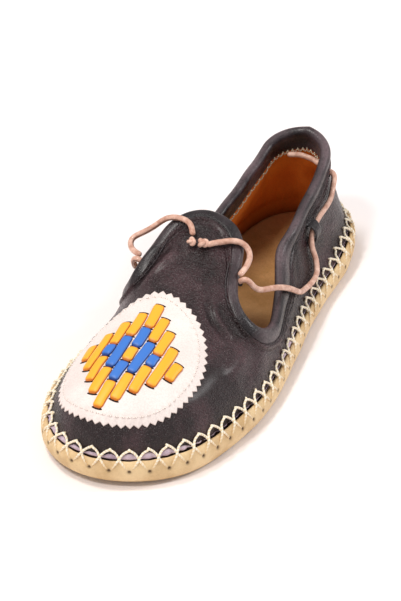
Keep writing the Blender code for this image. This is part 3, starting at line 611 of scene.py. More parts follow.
def wall_pattern(rows, near_rows, near):
    """Places on the pattern of the upper's wall: rows from the sole to the collar edge, of
    which some lie near the edge."""
    edge, rim, inward, out = upper_columns()
    span = np.linalg.norm(rim - edge, axis=1)[:, None]
    start = edge + inward * np.minimum(COLUMN_START, span * COLUMN_START_PART)
    end = rim - out * span * COLUMN_END_PART
    steps = np.linspace(0, 1, COLUMN_STEPS + 1)
    paths = np.stack([bezier(edge, start, end, rim, np.full(len(edge), t)) for t in steps], axis=1)
    columns = []
    for path in paths:
        run = distances(path)
        at = np.linspace(near, run[-1], rows - near_rows + 1)[1:]
        at = np.concatenate([np.linspace(0, near, near_rows), at])[::-1]
        columns.append(read_at(at, run, path))
    return np.stack(columns, axis=1)


# --- mesh helpers ---------------------------------------------------------------------------


def to_frame(points):
    """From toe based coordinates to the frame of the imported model."""
    return np.asarray(points, float) - np.array([BOX_MIDDLE_X, LENGTH / 2, 0])


def grid(points, uv=None, closed_rows=False, finish=0, caps=(), tint=0.0):
    """Rings of points as one part of a piece. A cap closes a ring, looking up or down."""
    return {
        "points": np.asarray(points, float),
        "uv": uv,
        "closed": closed_rows,
        "finish": finish,
        "caps": caps,
        "tint": tint,
    }


def grid_faces(rows, columns, closed_rows, closed_columns):
    """Four sided faces between the rows and columns of a grid of points."""
    r = np.arange(rows if closed_rows else rows - 1)[:, None]
    c = np.arange(columns if closed_columns else columns - 1)[None, :]
    above = (r + 1) % rows
    beside = (c + 1) % columns
    corners = (r * columns + c, above * columns + c, above * columns + beside, r * columns + beside)
    return np.stack(np.broadcast_arrays(*corners), axis=-1).reshape(-1, 4)


def grid_uvs(part, rows, columns):
    """Corner by corner places of the grid's faces in its flat pattern."""
    r = np.arange(rows if part["closed"] else rows - 1)[:, None]
    c = np.arange(columns)[None, :]
    uv = part["uv"]
    if uv is None:
        v, u = np.meshgrid(np.arange(rows + 1.0), np.arange(columns + 1.0), indexing="ij")
        uv = np.stack([u / columns, v / rows], axis=-1)
    corners = (uv[r, c], uv[r + 1, c], uv[r + 1, c + 1], uv[r, c + 1])
    return np.stack(corners, axis=2).reshape(-1, 2)


def across_ring(start, columns, upward):
    """Faces across a ring of points, each joining a place with the one on the other side."""
    faces = []
    for c in range(columns // 2):
        a = start + c
        far = start + (columns - c) % columns
        near = start + columns - c - 1
        face = [a, a + 1, near, far]
        if c == 0:
            face = [a, a + 1, near]
        elif c == columns // 2 - 1:
            face = [a, a + 1, far]
        faces.append(face[::-1] if upward else face)
    return faces


def add_piece(name, parts, finishes, nodes=(), sharp=None):
    """One object of the shoe, made of grids, riding on its body in place of its solids."""
    points = []
    faces = []
    uvs = []
    finish = []
    tints = []
    count = 0
    for part in parts:
        rows, columns = part["points"].shape[:2]
        made = (grid_faces(rows, columns, part["closed"], True) + count).tolist()
        uvs.append(grid_uvs(part, rows, columns))
        for row, upward in part["caps"]:
            cap = across_ring(count + row * columns, columns, upward)
            made += cap
            uvs.append(np.zeros((sum(len(face) for face in cap), 2)))
        faces += made
        finish += [part["finish"]] * len(made)
        points.append(part["points"].reshape(-1, 3))
        tints.append(np.broadcast_to(part["tint"], (rows, columns)).reshape(-1))
        count += rows * columns
    mesh = bpy.data.meshes.new(name)
    mesh.from_pydata(to_frame(np.concatenate(points)).tolist(), [], faces)
    layer = mesh.uv_layers.new(name="flat")
    layer.data.foreach_set("uv", np.concatenate(uvs).reshape(-1).astype(np.float32))
    wear = mesh.attributes.new("tint", "FLOAT", "POINT")
    wear.data.foreach_set("value", np.concatenate(tints).astype(np.float32))
    mesh.polygons.foreach_set("material_index", np.array(finish, np.int32))
    for made in finishes:
        mesh.materials.append(made)
    mesh.shade_smooth()
    if sharp:
        mesh.set_sharp_from_angle(angle=math.radians(sharp))
    piece = bpy.data.objects.new(name, mesh)
    bpy.context.scene.collection.objects.link(piece)
    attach(piece, "root")
    if nodes:
        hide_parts(*nodes)
    return piece


def smooth_route(points, step):
    """Evenly stepped places on a smooth curve through the points of a route, given in mm."""
    points = np.asarray(points, float) * MM
    run = distances(points)
    curve = spline(run, points, np.linspace(0, run[-1], CURVE_SAMPLES))
    return even_steps(curve, max(5, round(run[-1] / step)) + 1)


def tube(route, radius, sides, closed=False):
    """Rings of points round a route, and their flat pattern: part of a turn, distance along."""
    route = np.asarray(route, float)
    radius = np.broadcast_to(np.asarray(radius, float), (len(route),))
    if closed:
        tangent = np.roll(route, -1, axis=0) - np.roll(route, 1, axis=0)
    else:
        tangent = np.gradient(route, axis=0)
    tangent /= np.linalg.norm(tangent, axis=1)[:, None]
    side = np.cross(tangent[0], [0.0, 0.0, 1.0])
    if np.linalg.norm(side) < 0.1:
        side = np.cross(tangent[0], [1.0, 0.0, 0.0])
    turns = -np.linspace(0, 2 * np.pi, sides, endpoint=False)
    rings = []
    for place, along, size in zip(route, tangent, radius):
        side = side - along * np.dot(side, along)
        side /= np.linalg.norm(side)
        other = np.cross(along, side)
        rings.append([place + size * (np.cos(t) * side + np.sin(t) * other) for t in turns])
    run = distances(route)
    last = 2 * run[-1] - run[-2] if closed else run[-1]
    uv = np.stack(np.meshgrid(np.linspace(0, 1, sides + 1), [*run, last]), axis=-1)
    return np.array(rings), uv


def rounded(route, radius, sides):
    """A tube whose two ends close in a small dome."""
    route = np.asarray(route, float)
    count = len(route)
    first = route[0] - route[1]
    last = route[-1] - route[-2]
    first = first / np.linalg.norm(first)
    last = last / np.linalg.norm(last)
    turns = np.radians((88, 60, 30))
    start = [route[0] + first * radius * np.sin(t) for t in turns]
    end = [route[-1] + last * radius * np.sin(t) for t in turns[::-1]]
    sizes = [radius * np.cos(t) for t in turns]
    path = np.concatenate([start, route, end])
    return tube(path, np.array(sizes + [radius] * count + sizes[::-1]), sides)


# --- materials ------------------------------------------------------------------------------


def linear(colour):
    """An sRGB hex colour as linear red, green, blue and alpha."""
    srgb = [int(colour[i : i + 2], 16) / 255 for i in (1, 3, 5)]
    return (*[c / 12.92 if c <= 0.04045 else ((c + 0.055) / 1.055) ** 2.4 for c in srgb], 1.0)


def grey(value):
    """A neutral linear colour."""
    return (value, value, value, 1.0)


def plug(tree, node, inputs):
    """Sets a node's inputs: each is a value, an output, or a node for its first output."""
    for name, value in inputs.items():
        if isinstance(value, bpy.types.Node):
            value = value.outputs[0]
        if isinstance(value, bpy.types.NodeSocket):
            tree.links.new(value, node.inputs[name])
        else:
            node.inputs[name].default_value = value


def add_node(tree, kind, inputs=None, stops=(), **settings):
    """Adds a node with its settings, the two stops of a colour ramp and its inputs."""
    node = tree.nodes.new("ShaderNode" + kind)
    for name, value in settings.items():
        setattr(node, name, value)
    for number, (place, colour) in enumerate(stops):
        node.color_ramp.elements[number].position = place
        node.color_ramp.elements[number].color = colour
    plug(tree, node, inputs or {})
    return node


def new_material(name):
    """A material, its node tree, its shader, and the place on the object that textures use."""
    made = bpy.data.materials.new(name)
    made.use_nodes = True
    tree = made.node_tree
    return made, tree, tree.nodes["Principled BSDF"], add_node(tree, "TexCoord").outputs["Object"]


def glazed_goat(name, base, light, grain, roughness, depth):
    """Glazed goat leather, chrome tanned and dyed in the drum, then glazed under a glass roller.
    The eye sees a fine pebbled grain about a millimetre wide, whose tops are polished and whose
    furrows are dull and painted darker as painted shade, soft lights on folds, and a paler tone
    where the mesh's tint is painted: a painted highlight on the rolled edge and on the crease
    ridges, with a little brown showing as wear where it has been bent."""
    made, tree, shader, place = new_material(name)
    warp = add_node(tree, "TexNoise", {"Vector": place, "Scale": 260.0, "Detail": 2.0})
    bent = {0: 0.0016, 4: place, 5: warp.outputs["Color"]}
    bent = add_node(tree, "Mix", bent, data_type="VECTOR")
    # Voronoi cells are one unit wide at scale one, so a pebble as wide as the grain is 1 / grain.
    cells = {"Vector": bent.outputs[1], "Scale": 1 / grain, "Smoothness": 0.5, "Randomness": 1.0}
    cells = add_node(tree, "TexVoronoi", cells, feature="SMOOTH_F1")
    pebbles = {"Value": cells, "From Min": 0.1, "From Max": 0.75, "To Min": 1.0, "To Max": 0.0}
    pebbles = add_node(tree, "MapRange", pebbles)
    # Fine wrinkles about a millimetre apart run mostly from toe to heel.
    drawn = {"Vector": place, "Rotation": (0, 0, math.radians(24)), "Scale": (1.0, 0.2, 0.8)}
    fine = {"Vector": add_node(tree, "Mapping", drawn), "Scale": 0.85 / grain, "Detail": 3.0}
    fine = add_node(tree, "TexNoise", {**fine, "Roughness": 0.6, "Distortion": 0.3})
    broad = {"Vector": place, "Scale": 42.0, "Detail": 4.0, "Roughness": 0.55}
    broad = add_node(tree, "TexNoise", broad)
    worn = add_node(tree, "MapRange", {"Value": broad, "From Min": 0.42, "From Max": 0.68})
    # The mesh's tint is a painted highlight: on the binding's rolled edge, and on the upper's
    # crease ridges together with a little wear. With the random broad tone it mixes the colour
    # towards the paler tone.
    painted_highlight = add_node(tree, "Attribute", attribute_name="tint").outputs["Fac"]
    pale = {0: worn, 1: 0.55, 2: painted_highlight}
    pale = add_node(tree, "Math", pale, operation="MULTIPLY_ADD", use_clamp=True)
    tone = add_node(tree, "Mix", {0: pale, 6: base, 7: linear(light)}, data_type="RGBA")
    # The furrows between the pebbles are painted darker: painted shade in the hollows of the grain.
    furrow_shade = add_node(tree, "ValToRGB", {"Fac": pebbles}, ((0.0, grey(0.5)), (0.45, grey(1.0))))
    colour = {0: 0.8, 6: tone.outputs[2], 7: furrow_shade}
    colour = add_node(tree, "Mix", colour, data_type="RGBA", blend_type="MULTIPLY")
    dull = {"Value": pebbles, "To Min": roughness + 0.2, "To Max": roughness - 0.06}
    height = add_node(tree, "Math", {0: fine, 1: 2.4, 2: pebbles}, operation="MULTIPLY_ADD")
    dull = add_node(tree, "MapRange", dull)
    bump = add_node(tree, "Bump", {"Height": height, "Strength": 1.0, "Distance": 1.3 * depth})
    values = {"Base Color": colour.outputs[2], "Roughness": dull, "IOR": 1.43, "Normal": bump}
    plug(tree, shader, {**values, "Coat Weight": 0.16, "Coat Roughness": 0.24})
    return made


def fibrous_leather(name, base, dark, stain_and_shade, roughness, depth_mm, stretch=(1, 1, 1)):
    """Leather whose fibres show: vegetable tanned hide that was cut, skived or left undyed.
    The eye sees a matt, warm surface with long faint fibres, broad cloudy tone and grime in its
    pores.
    The tint painted on the mesh darkens it: painted shade under the lip, along the bottom edge,
    deep in the lining and by the insole's edge, painted shade with a stain in the sole's stitch
    holes, and a darker cut edge on the patch."""
    made, tree, shader, place = new_material(name)
    # Fibre bundles of hide are about 0.2 mm thick; drawn here about twice as coarse to show.
    fibres = {"Vector": add_node(tree, "Mapping", {"Vector": place, "Scale": stretch})}
    fibres = {**fibres, "Scale": 1300.0, "Detail": 5.0, "Roughness": 0.62}
    fibres = add_node(tree, "TexNoise", fibres)
    clouds = {"Vector": place, "Scale": 55.0, "Detail": 5.0, "Roughness": 0.6}
    clouds = add_node(tree, "TexNoise", clouds)
    tone = add_node(tree, "ValToRGB", {"Fac": clouds}, ((0.3, linear(dark)), (0.62, base)))
    strands = add_node(tree, "ValToRGB", {"Fac": fibres}, ((0.3, grey(0.72)), (0.6, grey(1.0))))
    colour = {0: 0.55, 6: tone, 7: strands}
    colour = add_node(tree, "Mix", colour, data_type="RGBA", blend_type="MULTIPLY").outputs[2]
    marked = add_node(tree, "Attribute", attribute_name="tint").outputs["Fac"]
    # The tint mixes in the darker colour: mostly painted shade, with a real stain round the sole's
    # stitch holes.
    stain_and_painted_shade = add_node(tree, "Mix", {0: marked, 6: colour, 7: linear(stain_and_shade)}, data_type="RGBA")
    height = add_node(tree, "Math", {0: clouds, 1: 0.6, 2: fibres}, operation="MULTIPLY_ADD")
    bump = {"Height": height, "Strength": 0.6, "Distance": depth_mm * MM}
    bump = add_node(tree, "Bump", bump)
    values = {"Base Color": stain_and_painted_shade.outputs[2], "Roughness": roughness, "IOR": 1.45, "Normal": bump}
    plug(tree, shader, values)
    return made


def dyed_strip(name, face, edge, roughness):
    """Sheepskin dyed with a bright surface dye and cut in strips. The eye sees a soft, smooth
    and slightly puffed face, a deeper colour painted along the sides and at the ends where the
    strip goes down into its slot as painted shade, and fine pores."""
    made, tree, shader, place = new_material(name)
    pores = {"Vector": place, "Scale": 1500.0, "Detail": 3.0, "Roughness": 0.6}
    pores = add_node(tree, "TexNoise", pores)
    clouds = add_node(tree, "TexNoise", {"Vector": place, "Scale": 190.0, "Detail": 3.0})
    marked = add_node(tree, "Attribute", attribute_name="tint").outputs["Fac"]
    # Random cloudy tone plus the tint, which is painted shade along the strip's sides and ends.
    tone_and_edge_shade = {0: clouds, 1: 0.35, 2: marked}
    tone_and_edge_shade = add_node(tree, "Math", tone_and_edge_shade, operation="MULTIPLY_ADD", use_clamp=True)
    tone = add_node(tree, "ValToRGB", {"Fac": tone_and_edge_shade}, ((0.22, face), (0.95, linear(edge))))
    bump = add_node(tree, "Bump", {"Height": pores, "Strength": 0.5, "Distance": 0.12 * MM})
    values = {"Base Color": tone, "Roughness": roughness, "IOR": 1.46, "Normal": bump}
    plug(tree, shader, {**values, "Coat Weight": 0.08, "Coat Roughness": 0.35})
    return made


def twisted_thread(name, base, dark, ply_mm):
    """Waxed cotton thread, two plies twisted together. The eye sees slanting plies about half
    as long again as the thread is thick, painted darker between them as painted shade in the
    grooves, and a soft matt face."""
    made, tree, shader, _ = new_material(name)
    flat = add_node(tree, "UVMap", uv_map="flat")
    split = add_node(tree, "SeparateXYZ", {"Vector": flat}).outputs
    run = add_node(tree, "Math", {0: split["Y"], 1: 1000.0 / ply_mm}, operation="MULTIPLY")
    slant = add_node(tree, "Math", {0: split["X"], 1: run}, operation="ADD")
    turn = add_node(tree, "Math", {0: slant, 1: 2 * math.pi}, operation="MULTIPLY")
    wave = add_node(tree, "Math", {0: turn}, operation="SINE")
    ply = add_node(tree, "MapRange", {"Value": wave, "From Min": -1.0, "From Max": 0.4})
    # The grooves between the plies are painted in the darker colour: painted shade.
    plies = add_node(tree, "Mix", {0: ply, 6: linear(dark), 7: base}, data_type="RGBA").outputs[2]
    # The stretch that is pulled down into the sole is tinted towards the sole's colour.
    sunk = add_node(tree, "Attribute", attribute_name="tint").outputs["Fac"]
    tone = add_node(tree, "Mix", {0: sunk, 6: plies, 7: linear("#d9b67c")}, data_type="RGBA")
    bump = add_node(tree, "Bump", {"Height": ply, "Strength": 0.5, "Distance": 0.12 * MM})
    values = {"Base Color": tone.outputs[2], "Roughness": 0.62, "IOR": 1.47, "Normal": bump}
    plug(tree, shader, {**values, "Sheen Weight": 0.15})
    return made


def rolled_lace(name, base, light, dark):
    """Thin calf leather rolled and pulled into a round lace. The eye sees a smooth rosy tan
    skin with a darker seam running along it, small cross wrinkles and a satin gloss."""
    made, tree, shader, place = new_material(name)
    flat = add_node(tree, "UVMap", uv_map="flat")
    around = add_node(tree, "SeparateXYZ", {"Vector": flat}).outputs["X"]
    clouds = {"Vector": place, "Scale": 230.0, "Detail": 4.0, "Roughness": 0.6}
    clouds = add_node(tree, "TexNoise", clouds)
    wrinkles = add_node(tree, "TexNoise", {"Vector": place, "Scale": 1100.0, "Detail": 3.0})
    tone = add_node(tree, "ValToRGB", {"Fac": clouds}, ((0.36, base), (0.66, linear(light))))
    away = add_node(tree, "Math", {0: around, 1: 0.55}, operation="SUBTRACT")
    near = add_node(tree, "Math", {0: away}, operation="ABSOLUTE")
    seam = {"Value": near, "From Min": 0.02, "From Max": 0.075, "To Min": 0.75, "To Max": 0.0}
    seam = add_node(tree, "MapRange", seam)
    colour = add_node(tree, "Mix", {0: seam, 6: tone, 7: linear(dark)}, data_type="RGBA")
    height = add_node(tree, "Math", {0: wrinkles, 1: seam}, operation="SUBTRACT")
    bump = add_node(tree, "Bump", {"Height": height, "Strength": 0.6, "Distance": 0.2 * MM})
    values = {"Base Color": colour.outputs[2], "Roughness": 0.42, "IOR": 1.48, "Normal": bump}
    plug(tree, shader, {**values, "Coat Weight": 0.1})
    return made


def studio_paper(name, colour):
    """Matt white background paper: nearly even, with a breath of uneven tone."""
    made, tree, shader, place = new_material(name)
    clouds = add_node(tree, "TexNoise", {"Vector": place, "Scale": 3.0, "Detail": 2.0})
    tone = {0: clouds, 6: colour, 7: linear("#fffafa")}
    tone = add_node(tree, "Mix", tone, data_type="RGBA").outputs[2]
    plug(tree, shader, {"Base Color": tone, "Roughness": 0.9, "Specular IOR Level": 0.1})
    return made


# --- pieces ---------------------------------------------------------------------------------


def sole_ring(part, inset):
    """Places on the outline of the sole moved inward, at parts of the way round it."""
    outer = sole_outline(0, CURVE_SAMPLES)
    inner = sole_outline(MM, CURVE_SAMPLES)
    outer, inner = (np.concatenate([ring, ring[:1]]) for ring in (outer, inner))
    at = (np.asarray(part) % 1) * CURVE_SAMPLES
    steps = np.arange(CURVE_SAMPLES + 1)
    edge = read_at(at, steps, outer)
    return edge + (read_at(at, steps, inner) - edge) * (np.asarray(inset) / MM)[..., None]


def smooth_section(rows, count, closed=False):
    """A section drawn through its corner points, evenly stepped."""
    points = np.array(rows, float)
    if closed:
        return even_steps(closed_curve(points, 600), count, closed=True) * MM
    run = distances(points)
    return even_steps(spline(run, points, np.linspace(0, run[-1], 600)), count) * MM


def make_sole(finish):
    """Turned up sole of thick hide with its stitch holes, cut by hand so a little uneven."""
    wall = smooth_section(SOLE_SECTION[1:-1], SOLE_WALL_ROWS)
    section = np.concatenate([np.array(SOLE_SECTION[:1]) * MM, wall, [SOLE_INNER_END]])
    part = np.arange(SOLE_COLUMNS) / SOLE_COLUMNS
    turn = part * 2 * np.pi
    uneven = 0.16 * np.sin(9 * turn + 1) + 0.13 * np.sin(17 * turn + 2.4) + 0.09 * np.sin(31 * turn)
    stitch = part * SOLE_STITCHES
    away = np.abs(stitch - np.round(stitch)) * LENGTH * 2.42 / SOLE_STITCHES
    rings = []
    tints = []
    for inset, height in section:
        outside = smooth_step((6 * MM - inset) / (3 * MM))
        outside = outside * smooth_step((height - 1 * MM) / (4 * MM))
        hole = np.exp(-((away**2 + (height - HOLE_HEIGHT) ** 2) / HOLE_WIDTH**2))
        hole = hole * (inset < 2.3 * MM)
        lip = smooth_step((height - 11 * MM) / (2.5 * MM))
        pull = 0.22 * MM * np.cos(2 * np.pi * stitch) * lip
        move = -uneven * MM * outside * (1 - lip) + hole * 0.8 * MM
        ring = sole_ring(part, inset + move + 0.2 * pull)
        lower = lip_drop(ring) / (14 * MM) if inset < 3.4 * MM else 0
        z = height * (1 - lower) - pull + lift(ring[:, 1]) + 0.5 * uneven * MM * lip
        rings.append(np.column_stack([ring, z]))
        # Painted shade along the bottom edge of the wall, next to the floor.
        bottom_edge_shade = 0.3 * smooth_step((2.2 * MM - height) / (2 * MM)) * (inset < 6 * MM)
        # Painted shade on the inside face of the wall, under the lip where the upper covers it.
        inner = 0.35 if inset > 2.6 * MM and height > 4 * MM else 0
        # The stitch holes are painted dark: painted shade inside each hole, with a stain round it.
        tints.append(np.clip(hole * 1.5 + bottom_edge_shade + inner, 0, 1))
    rings = np.array(rings)
    last = len(rings) - 1
    sole = grid(rings, caps=((0, False), (last, True)), tint=np.array(tints))
    return add_piece("turned_up_sole", [sole], [finish], ["outsole"], sharp=60)


def make_insole(finish):
    """Insole of undyed hide, pressed a little by the foot."""
    reach, top = np.array(INSOLE_SECTION[-1]) * MM
    section = smooth_section(INSOLE_SECTION, 16)
    section = np.concatenate([[[reach, INSOLE_SECTION[0][1] * MM]], section])
    part = np.arange(INSOLE_COLUMNS) / INSOLE_COLUMNS
    rings = []
    tints = []
    for inset, height in section:
        ring = sole_ring(part, np.full(INSOLE_COLUMNS, inset))
        rings.append(np.column_stack([ring, height + lift(ring[:, 1])]))
        # Painted shade: the rings of the edge, down by the sole wall, are darker, and the rest of
        # the face a little darker than its middle.
        tints.append(0.45 if inset < 8 * MM else 0.1)
    # The face goes on to the centre line of the last in two more rings.
    for share in (6 / 22, 12 / 22):
        ring = sole_ring(part, np.full(INSOLE_COLUMNS, reach))
        middle = np.stack([centre_x(ring[:, 1]), np.clip(ring[:, 1], 30 * MM, 240 * MM)], axis=1)
        ring = ring + (middle - ring) * share
        rings.append(np.column_stack([ring, top + lift(ring[:, 1])]))
        tints.append(0.0)
    tint = np.array(tints)[:, None]
    sole = grid(rings, caps=((0, False), (len(rings) - 1, True)), tint=tint)
    return add_piece("insole_hide", [sole], [finish], ["insole"], sharp=50)


def band_height(near):
    """Ridge and groove of the band that is stitched round the collar, by distance from its edge."""
    depth = near / MM
    rise = sum(h * np.exp(-(((depth - d) / w) ** 2)) for d, w, h in COLLAR_BAND)
    under = 0.5 * smooth_step((9.2 - depth) / 1.2)
    return (rise + under) * smooth_step((depth - 5.0) / 1.2) * MM


def make_upper(leather):
    """Vamp with its tongue and the quarters, as one shaped skin with creases and puckers."""
    rows, near_rows, near = UPPER_ROWS
    pattern = wall_pattern(*UPPER_ROWS)
    band = np.zeros((rows, 1))
    band[-near_rows:, 0] = band_height(np.linspace(near, 0, near_rows))
    outside = leather_point(pattern[..., 0], pattern[..., 1], band)
    back = wall_pattern(*UPPER_BACK_ROWS)[::-1]
    inside = leather_point(back[..., 0], back[..., 1], -0.85 * MM)
    # Painted highlight with a little wear: the ridges of the creases are painted paler.
    painted_highlight = np.clip(crease_relief(pattern[..., 0], pattern[..., 1]) / MM, 0, 1) * 0.4
    tint = np.concatenate([painted_highlight, np.zeros(back.shape[:2])])
    wall = grid(np.concatenate([outside, inside]), closed_rows=True, tint=tint)
    return add_piece("vamp_and_quarters", [wall], [leather], ["upper"])


def make_lining(finish):
    """Lining of thin sheepskin, pasted inside the upper from the collar down to the insole."""
    inner = wall_pattern(*LINING_ROWS)
    outer = wall_pattern(*LINING_BACK_ROWS)
    ripple = 0.12 * MM * np.sin(inner[..., 0] * 390) * np.sin(inner[..., 1] * 310)
    back = leather_point(outer[..., 0], outer[..., 1], -0.9 * MM)
    face = leather_point(inner[..., 0], inner[..., 1], -LEATHER + ripple)[::-1]
    # Painted shade: the lining is painted darker deeper down inside the shoe.
    lining_depth_shade = 0.75 * np.linspace(0, 1, len(inner))[:, None] ** 3
    tint = np.concatenate([np.zeros((len(outer), 1)), lining_depth_shade])
    wall = grid(np.concatenate([back, face]), closed_rows=True, tint=tint)
    return add_piece("lining", [wall], [finish])


def make_binding(finish):
    """Rolled binding that straddles the cut edge of the collar all the way round."""
    edge, _, inward, _ = upper_columns()
    section = smooth_section(BINDING_SECTION, BINDING_SAMPLES, closed=True)
    rings = []
    for depth, height in section:
        place = edge + inward * depth
        rings.append(leather_point(place[:, 0], place[:, 1], height))
    # The rolled outer edge is painted paler: a painted highlight along the roll.
    ring = ((section[:, 0] + 1.4 * MM) / MM) ** 2 + (section[:, 1] / (1.6 * MM)) ** 2
    painted_highlight = 0.5 * np.exp(-ring)
    return add_piece(
        "rolled_binding",
        [grid(np.array(rings), closed_rows=True, tint=painted_highlight[:, None])],
        [finish],
        ["collar_binding"],
    )


def collar_line(depth, pitch):
    """Evenly stepped places round the collar at a depth from its edge, and the direction in."""
    edge, _, inward, _ = upper_columns()
    line = edge + inward * depth
    closed = np.concatenate([line, line[:1]])
    run = distances(closed)
    count = int(run[-1] / pitch)
    at = np.arange(count) * run[-1] / count
    way = np.concatenate([inward, inward[:1]])
    return read_at(at, run, closed), read_at(at, run, way), run[-1] / count


def make_channel_stitches(finish):
    """Black machine stitches down in the groove behind the rolled edge."""
    spot, into, pitch = collar_line(CHANNEL_DEPTH, CHANNEL_STITCH)
    along = np.stack([into[:, 1], -into[:, 0]], axis=1)
    steps = np.linspace(-0.42, 0.42, 6)
    parts = []
    for place, way in zip(spot, along):
        line = place + way * (steps * pitch)[:, None]
        rise = 0.3 * MM * np.cos(steps / 0.42 * np.pi / 2) + 0.2 * MM
        path = leather_point(line[:, 0], line[:, 1], rise)
        parts.append(grid(*rounded(path, 0.3 * MM, 6)))
    return add_piece("collar_stitches", parts, [finish])


def make_facing_stitches(finish):
    """Cream zigzag stitches that hold the facing of the collar to the lining."""
    spot, into, _ = collar_line(FACING_DEPTH, FACING_STITCH)
    parts = []
    ahead = np.roll(spot, -1, axis=0)
    for k, (place, after, way) in enumerate(zip(spot, ahead, into)):
        a = place + way * (1.5 * MM if k % 2 else -0.6 * MM)
        b = after + way * (-0.6 * MM if k % 2 else 1.5 * MM)
        steps = np.linspace(0, 1, 5)[:, None]
        line = a + (b - a) * steps
        rise = -3.55 * MM - 0.35 * MM * np.sin(np.pi * steps[:, 0])
        path = leather_point(line[:, 0], line[:, 1], rise)
        parts.append(grid(*rounded(path, 0.34 * MM, 6)))
    return add_piece("facing_stitches", parts, [finish])


def lip_drop(place):
    """How much lower the lip of the sole is at the toe and along the waist, in metres."""
    toe = 1.8 * smooth_step((30 * MM - place[..., 1]) / (24 * MM))
    waist = smooth_step((place[..., 1] - 66 * MM) / (28 * MM))
    waist = waist * smooth_step((232 * MM - place[..., 1]) / (30 * MM))
    return (toe + np.where(place[..., 0] > 0, 2.4, 1.4) * waist) * MM


def seam_leg(start, turn, lifted, radius):
    """Route of one leg of the seam's thread: out of its hole, over the lip, round an arch."""
    rows = np.array(LEG_ON_SOLE)
    run = distances(rows)
    phase = (start + turn * 0.5 * run / run[-1]) / SOLE_STITCHES
    on_sole = sole_ring(phase, rows[:, 0] * MM)
    drop = lip_drop(on_sole)
    z = rows[:, 1] * MM * (1 - drop / (14 * MM)) + lift(on_sole[:, 1])
    first = np.column_stack([on_sole, z])
    swing = np.radians((18, 36, 52, 66, 78, 87, 93))
    straight = np.clip(swing / (np.pi / 2), 0, 1)
    phase = (start + turn * (0.5 + 0.2 * (1 - np.cos(swing)) + 0.3 * straight)) / SOLE_STITCHES
    above = ARCH_FOOT + (ARCH_TOP - ARCH_FOOT) * (0.4 * np.sin(swing) + 0.6 * straight)
    above = above * MM - drop[-1]
    rise = np.array((0.95, 0.8, 0.7, 0.65, 0.6, 0.4, -0.7)) * MM
    across, along = seam_place(phase, above)
    route = np.concatenate([first, leather_point(across, along, rise)])
    knots = distances(route)
    crossing = knots[len(rows) - 1]
    bump = lifted * 0.7 * MM * np.exp(-(((knots - crossing) / (2.2 * MM)) ** 2))
    outward = first[-1] - np.array([*sole_ring(phase[0], np.array(20 * MM)), 0])
    outward = outward / np.linalg.norm(outward) * 0.5 + np.array([0, 0, 0.85])
    route = route + outward * bump[:, None]
    at = np.linspace(0, knots[-1], 22)
    sunk = smooth_step(at / crossing)
    return spline(knots, route, at), radius * (0.6 + 0.4 * sunk), 1 - sunk


def make_seam_thread(finish, thickness):
    """Cream thread that whips the upper to the sole, two slanting legs to each hole."""
    parts = []
    for k in range(SOLE_STITCHES):
        for start, turn, lifted in ((k, 1, 0), (k + 1, -1, 1)):
            route, radius, sunk = seam_leg(start, turn, lifted, thickness / 2)
            rings, uv = tube(route, radius, 8)
            parts.append(grid(rings, uv, tint=sunk[:, None]))
    return add_piece("seam_thread", parts, [finish])


def make_raw_edge(finish):
    """Cut edge of the upper that peeps out between the stitches at the toe and the outer side."""
    columns = SOLE_STITCHES * 16
    part = np.arange(columns) / columns
    across, along = seam_place(part, np.full(columns, 1.2 * MM))
    shown = np.exp(-(((along - 6 * MM) / (17 * MM)) ** 2)) * (along < 40 * MM)
    shown = shown + 0.9 * np.exp(-(((along - 128 * MM) / (9 * MM)) ** 2)) * (across > 0)
    shown = np.clip(shown * 1.3, 0, 1)
    lens = np.abs(np.cos(np.pi * part * SOLE_STITCHES)) ** 0.8
    width = (0.15 + 2.7 * lens * shown) * MM
    drop = lip_drop(sole_ring(part, np.full(columns, 3 * MM)))
    rings = []
    for side, rise in ((-0.4, -0.4), (0.0, 0.5), (0.3, 0.85), (0.7, 0.8), (1.0, 0.45), (1.1, -0.4)):
        a, b = seam_place(part, 1.1 * MM - drop + width * side)
        rings.append(leather_point(a, b, np.full(columns, rise * MM) * (0.25 + 0.75 * shown)))
    return add_piece("raw_edge", [grid(np.array(rings))], [finish])


def patch_ring(columns):
    """Outline of the patch on the pattern through the tips of its teeth, and its directions out."""
    rows = np.array(PATCH_OUTLINE, float)
    outer = [(half, along) for along, half in rows[::-1]]
    inner = [(-half, along) for along, half in rows[1:-1]]
    curve = closed_curve(np.array(outer + inner) * MM, CURVE_SAMPLES)
    ring = even_steps(curve, columns, closed=True)
    return ring, square_out(ring)


